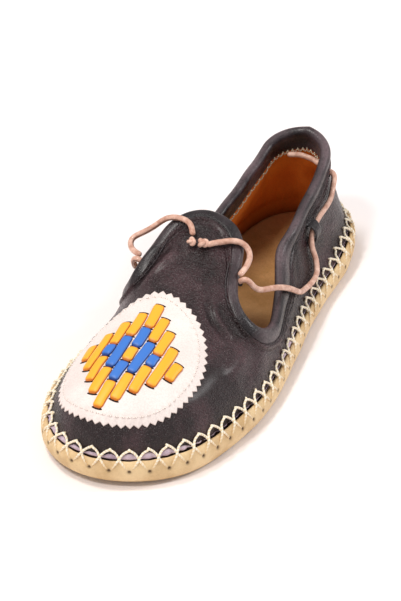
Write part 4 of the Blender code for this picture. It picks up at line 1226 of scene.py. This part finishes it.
def make_patch(finish, teeth):
    """Pinked leather patch, stitched down flat on the vamp."""
    columns = teeth * 12
    ring, outward = patch_ring(columns)
    tooth = (np.arange(columns) * teeth / columns + 0.5) % 1
    ring = ring - outward * (np.minimum(tooth, 1 - tooth) * 2 * PATCH_TOOTH)[:, None]
    centre = np.array(PATCH_CENTRE, float) * MM
    part = np.concatenate([[1, 0.994, 0.985, 0.97], np.linspace(0.945, 0.02, 30)])
    span = np.linalg.norm(ring - centre, axis=1)
    sheets = []
    for top in (False, True):
        rows = []
        for p in part if top else part[::6]:
            place = centre + (ring - centre) * p
            inside = (1 - p) * span
            height = 0.08 * MM
            if top:
                height = 0.55 * MM + 1.15 * MM * smooth_step(inside / (5 * MM))
                height = height - 0.28 * MM * np.exp(-(((inside - 3.6 * MM) / (0.7 * MM)) ** 2))
            if top and p == 1:
                height = height - 0.15 * MM
            rows.append(leather_point(place[:, 0], place[:, 1], height))
        sheets.append(np.array(rows))
    wall = np.concatenate([sheets[0][::-1], sheets[1]])
    edge = np.concatenate([np.zeros(len(sheets[0])), 0.9 * np.exp(-((1 - part) / 0.006))])
    tint = np.broadcast_to(edge[:, None], wall.shape[:2])
    patch = grid(wall, caps=((0, False), (len(wall) - 1, True)), tint=tint)
    return add_piece("pinked_patch", [patch], [finish], ["vamp_patch"], sharp=55)


def make_patch_stitches(finish):
    """Short white stitches sunk in a row along the teeth of the patch."""
    ring, outward = patch_ring(CURVE_SAMPLES)
    line = ring - outward * PATCH_STITCH_INSET
    closed = np.concatenate([line, line[:1]])
    run = distances(closed)
    count = int(run[-1] / PATCH_STITCH)
    parts = []
    for k in range(count):
        at = (k + np.linspace(0.18, 0.82, 5)) * run[-1] / count
        spot = read_at(at, run, closed)
        rise = (1.42 + 0.3 * np.sin(np.linspace(0, np.pi, 5))) * MM
        path = leather_point(spot[:, 0], spot[:, 1], rise)
        parts.append(grid(*rounded(path, 0.26 * MM, 6)))
    return add_piece("patch_stitches", parts, [finish])


def bar_grid(across, front, rear, finish, rng):
    """One puffed bar of the woven diamond, its two ends diving into the patch."""
    length = (rear - front) * MM
    steps = max(14, int(length / (0.55 * MM)))
    t = np.linspace(0, 1, steps + 1)
    ends = np.minimum(t, 1 - t) * length
    reach = 2.3 * MM
    plump = np.sqrt(np.clip(1 - (1 - np.clip(ends / reach, 0, 1)) ** 2, 0.02, 1))
    wobble = 1 + 0.03 * np.sin(t * 5 + rng.uniform(0, 6))
    half = BAR_WIDTH / 2 * (0.42 + 0.58 * plump) * wobble
    sway = 0.16 * MM * np.sin(t * 4 + rng.uniform(0, 6))
    tall = BAR_THICKNESS * rng.uniform(0.9, 1.1) * plump
    sides = 14
    turn = np.linspace(0, np.pi, sides)
    sideways = -np.sign(np.cos(turn)) * np.abs(np.cos(turn)) ** 0.75
    upward = np.sin(turn) ** 0.65
    x = across * MM + sway[:, None] + half[:, None] * sideways
    y = np.broadcast_to(front * MM + t[:, None] * length, x.shape)
    z = PATCH_TOP - 0.25 * MM + (tall[:, None] + 0.25 * MM) * upward
    z = np.where(upward < 1e-6, PATCH_TOP - 0.25 * MM, z)
    points = leather_point(x, y, z)
    # Painted shade: the tint darkens the bar along its sides and at its ends where it dives into
    # the slots.
    rim = np.exp(-(((1 - np.abs(sideways)) / 0.13) ** 2))[None, :]
    dive_shade = np.exp(-((ends / (1.0 * MM)) ** 2))[:, None]
    tint = np.clip(0.9 * rim + 0.85 * dive_shade, 0, 1)
    around = np.linspace(0, 1, sides + 1)
    uv = np.stack(np.meshgrid(around, np.linspace(0, length, steps + 2)), axis=-1)
    return grid(points[:, ::-1], uv, finish=finish, tint=tint[:, ::-1])


def ring_stack(place, half, rows, sides):
    """Rings on the leather round one place, in mm. Each row holds a ring's size and height."""
    turn = -np.linspace(0, 2 * np.pi, sides, endpoint=False)
    rings = []
    for size, rise in rows:
        x = (place[0] + half[0] * size * np.cos(turn)) * MM
        y = (place[1] + half[1] * size * np.sin(turn)) * MM
        rings.append(leather_point(x, y, rise * MM))
    return grid(rings)


def make_diamond(yellow, blue, dark):
    """Nine woven strips of the diamond, and the slots that they go down into, drawn dark as painted
    shade.
    """
    rng = np.random.default_rng(BAR_SEED)
    slots = []
    for number, k in enumerate(range(-4, 5), 1):
        across = BAR_MIDDLE + k * BAR_PITCH
        parts = []
        for colour, front, rear in BAR_CHART[abs(k)]:
            front = front + rng.uniform(-0.25, 0.25)
            rear = rear + rng.uniform(-0.25, 0.25)
            parts.append(bar_grid(across, front + 0.15, rear - 0.15, int(colour == "blue"), rng))
            for end, way in ((front, -1), (rear, 1)):
                slots.append((across, end - 0.1 * way))
        node = f"woven_strip_{number:02d}"
        add_piece(f"diamond_bars_{number:02d}", parts, [yellow, blue], [node])
    parts = [ring_stack(place, SLOT_HALF, SLOT_RINGS, 18) for place in slots]
    add_piece("strip_slot_shade", parts, [dark])


def lace_path(rows):
    """A route of the lace over the leather, as places in space."""
    route = smooth_route(rows, MM)
    return leather_point(route[:, 0], route[:, 1], route[:, 2])


def make_lace(name, route, thickness, finish, node):
    """One strand of the round lace."""
    strand = grid(*rounded(route, thickness / 2, 16))
    return add_piece(name, [strand], [finish], [node])


def make_side_laces(finish, thickness):
    """The lace along both sides of the shoe, and its strap across the heel."""
    for side, sign, route in (("outer", 1, OUTER_LACE), ("inner", -1, INNER_LACE)):
        start = (route[0][0] - 1.6 * sign, route[0][1] - 0.6, -1.2)
        end = (route[-1][0] - 2.2 * sign, route[-1][1] + 0.3, -1.2)
        path = lace_path((start, *route, end))
        make_lace(f"side_lace_{side}", path, thickness, finish, f"lace_{side}")
    make_lace("heel_lace", smooth_route(HEEL_STRAP, MM), thickness, finish, "lace_heel_strap")


def knot_grid(middle, way, size):
    """A knot pulled tight, as one closed loop of lace that runs three times through itself."""
    t = np.linspace(0, 2 * np.pi, 90, endpoint=False)
    up = np.array([0, 0, 1.0])
    flat = way / np.linalg.norm(way)
    wide = np.cross(up, flat)
    wide = wide / np.linalg.norm(wide)
    knot = (
        flat[None] * ((np.sin(t) + 2 * np.sin(2 * t)) * 0.62 * MM)[:, None]
        + wide[None] * ((np.cos(t) - 2 * np.cos(2 * t)) * 0.68 * MM)[:, None]
        + up[None] * (-np.sin(3 * t) * 0.75 * MM)[:, None]
    )
    return grid(*tube(middle + knot * size, 1.15 * MM * size, 12, closed=True), closed_rows=True)


def make_loops(finish, thickness):
    """The two loose loops on the tongue, each tied off in a knot."""
    loops = (
        ("outer", lace_path(OUTER_LOOP), OUTER_KNOT, 1.0),
        ("inner", smooth_route(INNER_LOOP, MM), INNER_KNOT, 0.8),
    )
    for side, path, spot, size in loops:
        middle = leather_point(*(np.array(spot)[:, None] * MM))[0]
        knot = [knot_grid(middle, path[0] - path[3], size)]
        tied = add_piece(f"tied_knot_{side}", knot, [finish], [f"lace_knot_{side}"])
        loop = make_lace(f"loose_loop_{side}", path, thickness, finish, f"lace_loop_{side}")


def make_holes(finish):
    """Punched holes that the lace goes through, each a dark dent with a pressed rim, its dark
    colour a painted shade of the hole.
    """
    parts = [ring_stack(place, (1, 1), HOLE_RINGS, 24) for place in LACE_HOLES]
    add_piece("lace_hole_shade", parts, [finish])


def make_keepers(finish, thread):
    """Leather bridges over the lace on both quarters, sewn down at both feet."""
    across, along = KEEPER_PLACE
    steps = np.linspace(-1, 1, 49)
    rise = 0.15 + 4.3 * np.sqrt(np.clip(1 - (steps / 0.8) ** 2, 0, 1))
    rise = np.convolve(np.pad(rise, 2, mode="edge"), np.ones(5) / 5, mode="valid")
    turn = -np.linspace(0, 2 * np.pi, 20, endpoint=False)
    wide = np.sign(np.cos(turn)) * np.abs(np.cos(turn)) ** 0.45
    thick = np.sign(np.sin(turn)) * np.abs(np.sin(turn)) ** 0.45
    run = np.linspace(-1, 1, 5)
    for name, side in (("keeper_outer", 1), ("keeper_inner", -1)):
        x = side * (across + steps[:, None] * KEEPER_REACH) * np.ones(20)
        y = along + KEEPER_HALF_WIDTH * wide[None, :] * np.ones((49, 1))
        z = rise[:, None] + 0.55 + 0.55 * thick[None, :]
        points = leather_point(x * MM, y * MM, z * MM)
        if side > 0:
            points = points[:, ::-1]
        middles = points.mean(axis=1, keepdims=True)
        first, last = (middles[k] + (points[k] - middles[k]) * 0.05 for k in (0, -1))
        points = np.concatenate([first[None], points, last[None]])
        add_piece(f"{name}_bridge", [grid(points)], [finish], [name])
        parts = []
        for foot in (-1, 1):
            for k in (-1, 0, 1):
                x = np.full(5, side * (across + foot * 6.3)) * MM
                y = (along + 2.0 * k + 0.7 * run) * MM
                path = leather_point(x, y, (1.25 + 0.25 * np.cos(run * np.pi / 2)) * MM)
                parts.append(grid(*rounded(path, 0.24 * MM, 6)))
        add_piece(f"{name}_stitches", parts, [thread])


# --- stage, camera and lights ---------------------------------------------------------------

CAMERA_PLACE = (0.5214, -1.126, 0.8549)
CAMERA_TARGET = (-0.0067, -0.007, 0.0275)
CAMERA_LENS = 182.0
# The shoe stands right of the middle of the photograph, so it is seen turned by this much.
CAMERA_ROLL = math.radians(1.49)
# The soft lights: name, place, what it points at, diameter, power in watts, colour.
LIGHTS = (
    ("key_softbox", (-0.45, -0.2, 1.45), (0, -0.02, 0), 0.34, 8.5, "#fffdf8"),
    ("back_softbox", (1.0, 0.65, 1.0), (0, 0.0, 0.03), 0.28, 6.5, "#ffffff"),
    ("front_softbox", (-0.25, -0.85, 1.35), (0, -0.06, 0.03), 0.24, 8.5, "#fffaf6"),
)
FLOOR_REACH = 6.0
FLOOR_DROP = 0.0003


def aim(thing, place, target, roll=0.0):
    """Puts a camera or a light in its place and turns it to what it points at."""
    way = Vector(target) - Vector(place)
    turned = way.to_track_quat("-Z", "Y").to_matrix() @ Matrix.Rotation(roll, 3, "Z")
    thing.location = place
    thing.rotation_euler = turned.to_euler()
    bpy.context.scene.collection.objects.link(thing)


def make_camera():
    """The photograph's camera, with the one shoe in the middle of its picture."""
    data = bpy.data.cameras.new("camera")
    data.lens = CAMERA_LENS
    data.sensor_width = 36.0
    data.clip_start = 0.01
    camera = bpy.data.objects.new("camera", data)
    aim(camera, CAMERA_PLACE, CAMERA_TARGET, CAMERA_ROLL)
    bpy.context.scene.camera = camera


def make_light(name, place, target, size, power, colour):
    """A round soft light."""
    data = bpy.data.lights.new(name, "AREA")
    data.shape = "DISK"
    data.size = size
    data.energy = power
    data.color = linear(colour)[:3]
    aim(bpy.data.objects.new(name, data), place, target)


def make_floor(finish):
    """A wide sheet of paper just under the sole, finer in the middle."""
    steps = np.linspace(-1, 1, 41)
    reach = np.sign(steps) * np.abs(steps) ** 2 * FLOOR_REACH
    x, y = np.meshgrid(reach, reach, indexing="ij")
    points = np.stack([x, y, np.full(x.shape, -FLOOR_DROP)], axis=-1)
    faces = grid_faces(41, 41, False, False)[:, ::-1]
    mesh = bpy.data.meshes.new("floor")
    mesh.from_pydata(points.reshape(-1, 3).tolist(), [], faces.tolist())
    mesh.materials.append(finish)
    floor = bpy.data.objects.new("floor", mesh)
    bpy.context.scene.collection.objects.link(floor)


def make_sky(strength):
    """The even white room round the shoe."""
    world = bpy.data.worlds.new("studio")
    world.use_nodes = True
    back = world.node_tree.nodes["Background"]
    back.inputs["Color"].default_value = linear("#fffcfb")
    back.inputs["Strength"].default_value = strength
    bpy.context.scene.world = world
    bpy.context.scene.view_settings.view_transform = "Standard"


# --- add-on ---------------------------------------------------------------------------------


def size_property(name, description, size, least, most):
    """A length that the panel shows in the scene's units."""
    return bpy.props.FloatProperty(
        name=name,
        description=description,
        default=size,
        min=least,
        max=most,
        unit="LENGTH",
        subtype="DISTANCE",
    )


def colour_property(name, description, colour):
    """A colour of the panel, given as sRGB hex."""
    return bpy.props.FloatVectorProperty(
        name=name,
        description=description,
        default=linear(colour),
        size=4,
        min=0,
        max=1,
        subtype="COLOR",
    )


class YemeniSizes(bpy.types.PropertyGroup):
    """Sizes that a maker would change."""

    lace: size_property("Lace", "Thickness of the round lace", 2.9 * MM, MM, 4 * MM)
    thread: size_property("Seam thread", "Thickness of the seam's thread", 1.2 * MM, MM / 2, 2 * MM)
    teeth: bpy.props.IntProperty(
        name="Teeth", description="Teeth round the pinked patch", default=58, min=12, max=120
    )
    grain: size_property("Grain", "Width of a pebble of the goat's grain", MM, 0.4 * MM, 3 * MM)
    grain_depth: size_property("Grain depth", "Depth of the goat's furrows", 0.3 * MM, 0, MM)
    light: bpy.props.FloatProperty(
        name="Studio light",
        description="Strength of the white room round the shoe",
        default=0.5,
        min=0,
        max=5,
    )


class YemeniColours(bpy.types.PropertyGroup):
    """Main colours of the leathers, the threads and the floor."""

    goat: colour_property("Goat leather", "Dyed goat leather of the upper", "#1f0d10")
    binding: colour_property("Binding", "Rolled binding and keepers", "#1b1418")
    lining: colour_property("Lining", "Sheepskin lining", "#f98f30")
    insole: colour_property("Insole", "Undyed insole", "#c0925f")
    sole: colour_property("Sole", "Vegetable tanned sole", "#f0d2a2")
    thread: colour_property("Seam thread", "Waxed thread of the sole's seam", "#fff6e4")
    lace: colour_property("Lace", "Darker tone of the round lace", "#bd8b76")
    patch: colour_property("Patch", "Alum tawed leather of the patch", "#f7ece7")
    yellow: colour_property("Yellow strip", "Outer ring and centre of the diamond", "#f9b52b")
    blue: colour_property("Blue strip", "Stepped ring of the diamond", "#3b78d0")
    floor: colour_property("Floor", "Studio paper", "#fdf6f6")


def shared(name, recipe, *values):
    """The material of this name, made by its recipe when the first piece asks for it."""
    return bpy.data.materials.get(name) or recipe(name, *values)


def rolled_goat():
    """Finish of the binding and the keepers."""
    colour = bpy.context.scene.yemeni_colours.binding
    name = "Binding goat leather, rolled"
    return shared(name, glazed_goat, colour, "#6e5c61", 0.8 * MM, 0.27, 0.08 * MM)


def black_thread():
    """Finish of the stitches of the collar and the keepers."""
    return shared("Waxed black thread", twisted_thread, linear("#4a4043"), "#141113", 1.1)


def calf_lace():
    """Finish of every strand of the lace."""
    colour = bpy.context.scene.yemeni_colours.lace
    return shared("Rolled calf leather lace", rolled_lace, colour, "#ecc5b2", "#6a4233")


class StageOperator(bpy.types.Operator):
    """Make the camera, the studio lights and the pale floor"""

    bl_idname = "yemeni.stage"
    bl_label = "Stage, camera and lights"

    def execute(self, context):
        make_camera()
        make_floor(studio_paper("White background paper", context.scene.yemeni_colours.floor))
        make_sky(context.scene.yemeni_sizes.light)
        for light in LIGHTS:
            make_light(*light)
        return {"FINISHED"}


class SideLaceOperator(bpy.types.Operator):
    """Make the lace along both sides and across the heel"""

    bl_idname = "yemeni.side_laces"
    bl_label = "Side laces"

    def execute(self, context):
        make_side_laces(calf_lace(), context.scene.yemeni_sizes.lace)
        return {"FINISHED"}


class LoopOperator(bpy.types.Operator):
    """Make the two loose loops on the tongue with their knots"""

    bl_idname = "yemeni.loops"
    bl_label = "Loops and knots"

    def execute(self, context):
        make_loops(calf_lace(), context.scene.yemeni_sizes.lace)
        return {"FINISHED"}


class HoleOperator(bpy.types.Operator):
    """Make the punched holes of the lace"""

    bl_idname = "yemeni.holes"
    bl_label = "Lace holes"

    def execute(self, context):
        # The hole is a dark disc of painted shade inside the punched hole.
        dark = linear("#1a1416")
        make_holes(fibrous_leather("Punched hole, painted shade", dark, "#0d0a0b", "#0a0808", 0.85, 0.1))
        return {"FINISHED"}


class SoleOperator(bpy.types.Operator):
    """Make the turned up sole"""

    bl_idname = "yemeni.sole"
    bl_label = "Sole"

    def execute(self, context):
        name = "Vegetable tanned buffalo sole leather"
        colour = context.scene.yemeni_colours.sole
        make_sole(fibrous_leather(name, colour, "#cda874", "#4a3018", 0.58, 0.22, (1, 1, 5)))
        return {"FINISHED"}


class InsoleOperator(bpy.types.Operator):
    """Make the insole"""

    bl_idname = "yemeni.insole"
    bl_label = "Insole"

    def execute(self, context):
        colour = context.scene.yemeni_colours.insole
        name = "Undyed cowhide insole"
        make_insole(fibrous_leather(name, colour, "#a2763f", "#6b4526", 0.7, 0.2, (1, 0.5, 1)))
        return {"FINISHED"}


class UpperOperator(bpy.types.Operator):
    """Make the vamp with its tongue and the quarters"""

    bl_idname = "yemeni.upper"
    bl_label = "Upper"

    def execute(self, context):
        sizes = context.scene.yemeni_sizes
        colour = context.scene.yemeni_colours.goat
        name = "Glazed goat leather"
        make_upper(glazed_goat(name, colour, "#5d3f45", sizes.grain, 0.29, sizes.grain_depth))
        return {"FINISHED"}


class LiningOperator(bpy.types.Operator):
    """Make the lining of the upper"""

    bl_idname = "yemeni.lining"
    bl_label = "Lining"

    def execute(self, context):
        name = "Sheepskin lining, madder orange"
        colour = context.scene.yemeni_colours.lining
        make_lining(fibrous_leather(name, colour, "#e8781c", "#4a1c0a", 0.6, 0.15))
        return {"FINISHED"}


class BindingOperator(bpy.types.Operator):
    """Make the rolled binding of the collar"""

    bl_idname = "yemeni.binding"
    bl_label = "Binding"

    def execute(self, context):
        make_binding(rolled_goat())
        return {"FINISHED"}


class CollarStitchOperator(bpy.types.Operator):
    """Make the two rows of stitches round the collar"""

    bl_idname = "yemeni.collar_stitches"
    bl_label = "Collar stitches"

    def execute(self, context):
        make_channel_stitches(black_thread())
        cream = linear("#f3dfc3")
        make_facing_stitches(twisted_thread("Waxed cream thread, facing", cream, "#8e7552", 1.1))
        return {"FINISHED"}


class KeeperOperator(bpy.types.Operator):
    """Make the two keepers of the lace"""

    bl_idname = "yemeni.keepers"
    bl_label = "Lace keepers"

    def execute(self, context):
        make_keepers(rolled_goat(), black_thread())
        return {"FINISHED"}


class SeamOperator(bpy.types.Operator):
    """Make the thread of the seam between the sole and the upper"""

    bl_idname = "yemeni.seam"
    bl_label = "Seam thread"

    def execute(self, context):
        colour = context.scene.yemeni_colours.thread
        thread = twisted_thread("Waxed cotton thread", colour, "#efdab2", 1.6)
        make_seam_thread(thread, context.scene.yemeni_sizes.thread)
        return {"FINISHED"}


class RawEdgeOperator(bpy.types.Operator):
    """Make the cut edge that shows through the seam"""

    bl_idname = "yemeni.raw_edge"
    bl_label = "Raw edge"

    def execute(self, context):
        name = "Cut edge of goat leather"
        pale = linear("#d9c6d2")
        make_raw_edge(fibrous_leather(name, pale, "#a993ad", "#5a4a58", 0.8, 0.2))
        return {"FINISHED"}


class PatchOperator(bpy.types.Operator):
    """Make the pinked patch and its row of stitches"""

    bl_idname = "yemeni.patch"
    bl_label = "Pinked patch"

    def execute(self, context):
        name = "Alum tawed white leather"
        colour = context.scene.yemeni_colours.patch
        white = fibrous_leather(name, colour, "#eee0db", "#b79f96", 0.62, 0.12)
        make_patch(white, context.scene.yemeni_sizes.teeth)
        linen = linear("#fff6ee")
        make_patch_stitches(twisted_thread("White linen thread", linen, "#c4b0a8", 1.1))
        return {"FINISHED"}


class DiamondOperator(bpy.types.Operator):
    """Make the woven diamond and its slots"""

    bl_idname = "yemeni.diamond"
    bl_label = "Woven diamond"

    def execute(self, context):
        colours = context.scene.yemeni_colours
        # The second colour of each strip is its painted shade along the sides and ends.
        yellow = dyed_strip("Yellow dyed sheepskin strip", colours.yellow, "#cc6a16", 0.46)
        blue = dyed_strip("Blue dyed sheepskin strip", colours.blue, "#153a86", 0.44)
        # The slots are dark discs of painted shade where the strips go down.
        dark = linear("#2a1a12")
        slot = fibrous_leather("Slot in the patch, painted shade", dark, "#120b08", "#0a0606", 0.9, 0.1)
        make_diamond(yellow, blue, slot)
        return {"FINISHED"}


class YemeniPanel(bpy.types.Panel):
    """Lists what makes the shoe"""

    bl_idname = "VIEW3D_PT_yemeni"
    bl_label = "Turkish yemeni"
    bl_space_type = "VIEW_3D"
    bl_region_type = "UI"
    bl_category = "Yemeni"

    def draw(self, context):
        layout = self.layout
        for group in (context.scene.yemeni_sizes, context.scene.yemeni_colours):
            for name in group.bl_rna.properties.keys():
                if name not in ("rna_type", "name"):
                    layout.prop(group, name)
        for operator in OPERATORS:
            layout.operator(operator.bl_idname)


OPERATORS = (
    StageOperator,
    SideLaceOperator,
    LoopOperator,
    HoleOperator,
    SoleOperator,
    InsoleOperator,
    UpperOperator,
    LiningOperator,
    BindingOperator,
    CollarStitchOperator,
    KeeperOperator,
    SeamOperator,
    RawEdgeOperator,
    PatchOperator,
    DiamondOperator,
)
CLASSES = (YemeniSizes, YemeniColours) + OPERATORS + (YemeniPanel,)


def register():
    for made in CLASSES:
        bpy.utils.register_class(made)
    bpy.types.Scene.yemeni_sizes = bpy.props.PointerProperty(type=YemeniSizes)
    bpy.types.Scene.yemeni_colours = bpy.props.PointerProperty(type=YemeniColours)


def unregister():
    del bpy.types.Scene.yemeni_colours
    del bpy.types.Scene.yemeni_sizes
    for made in reversed(CLASSES):
        bpy.utils.unregister_class(made)


def main():
    """Build the whole shoe on its stage."""
    register()
    for operator in OPERATORS:
        getattr(bpy.ops.yemeni, operator.bl_idname.split(".")[1])()


if __name__ == "__main__":
    main()
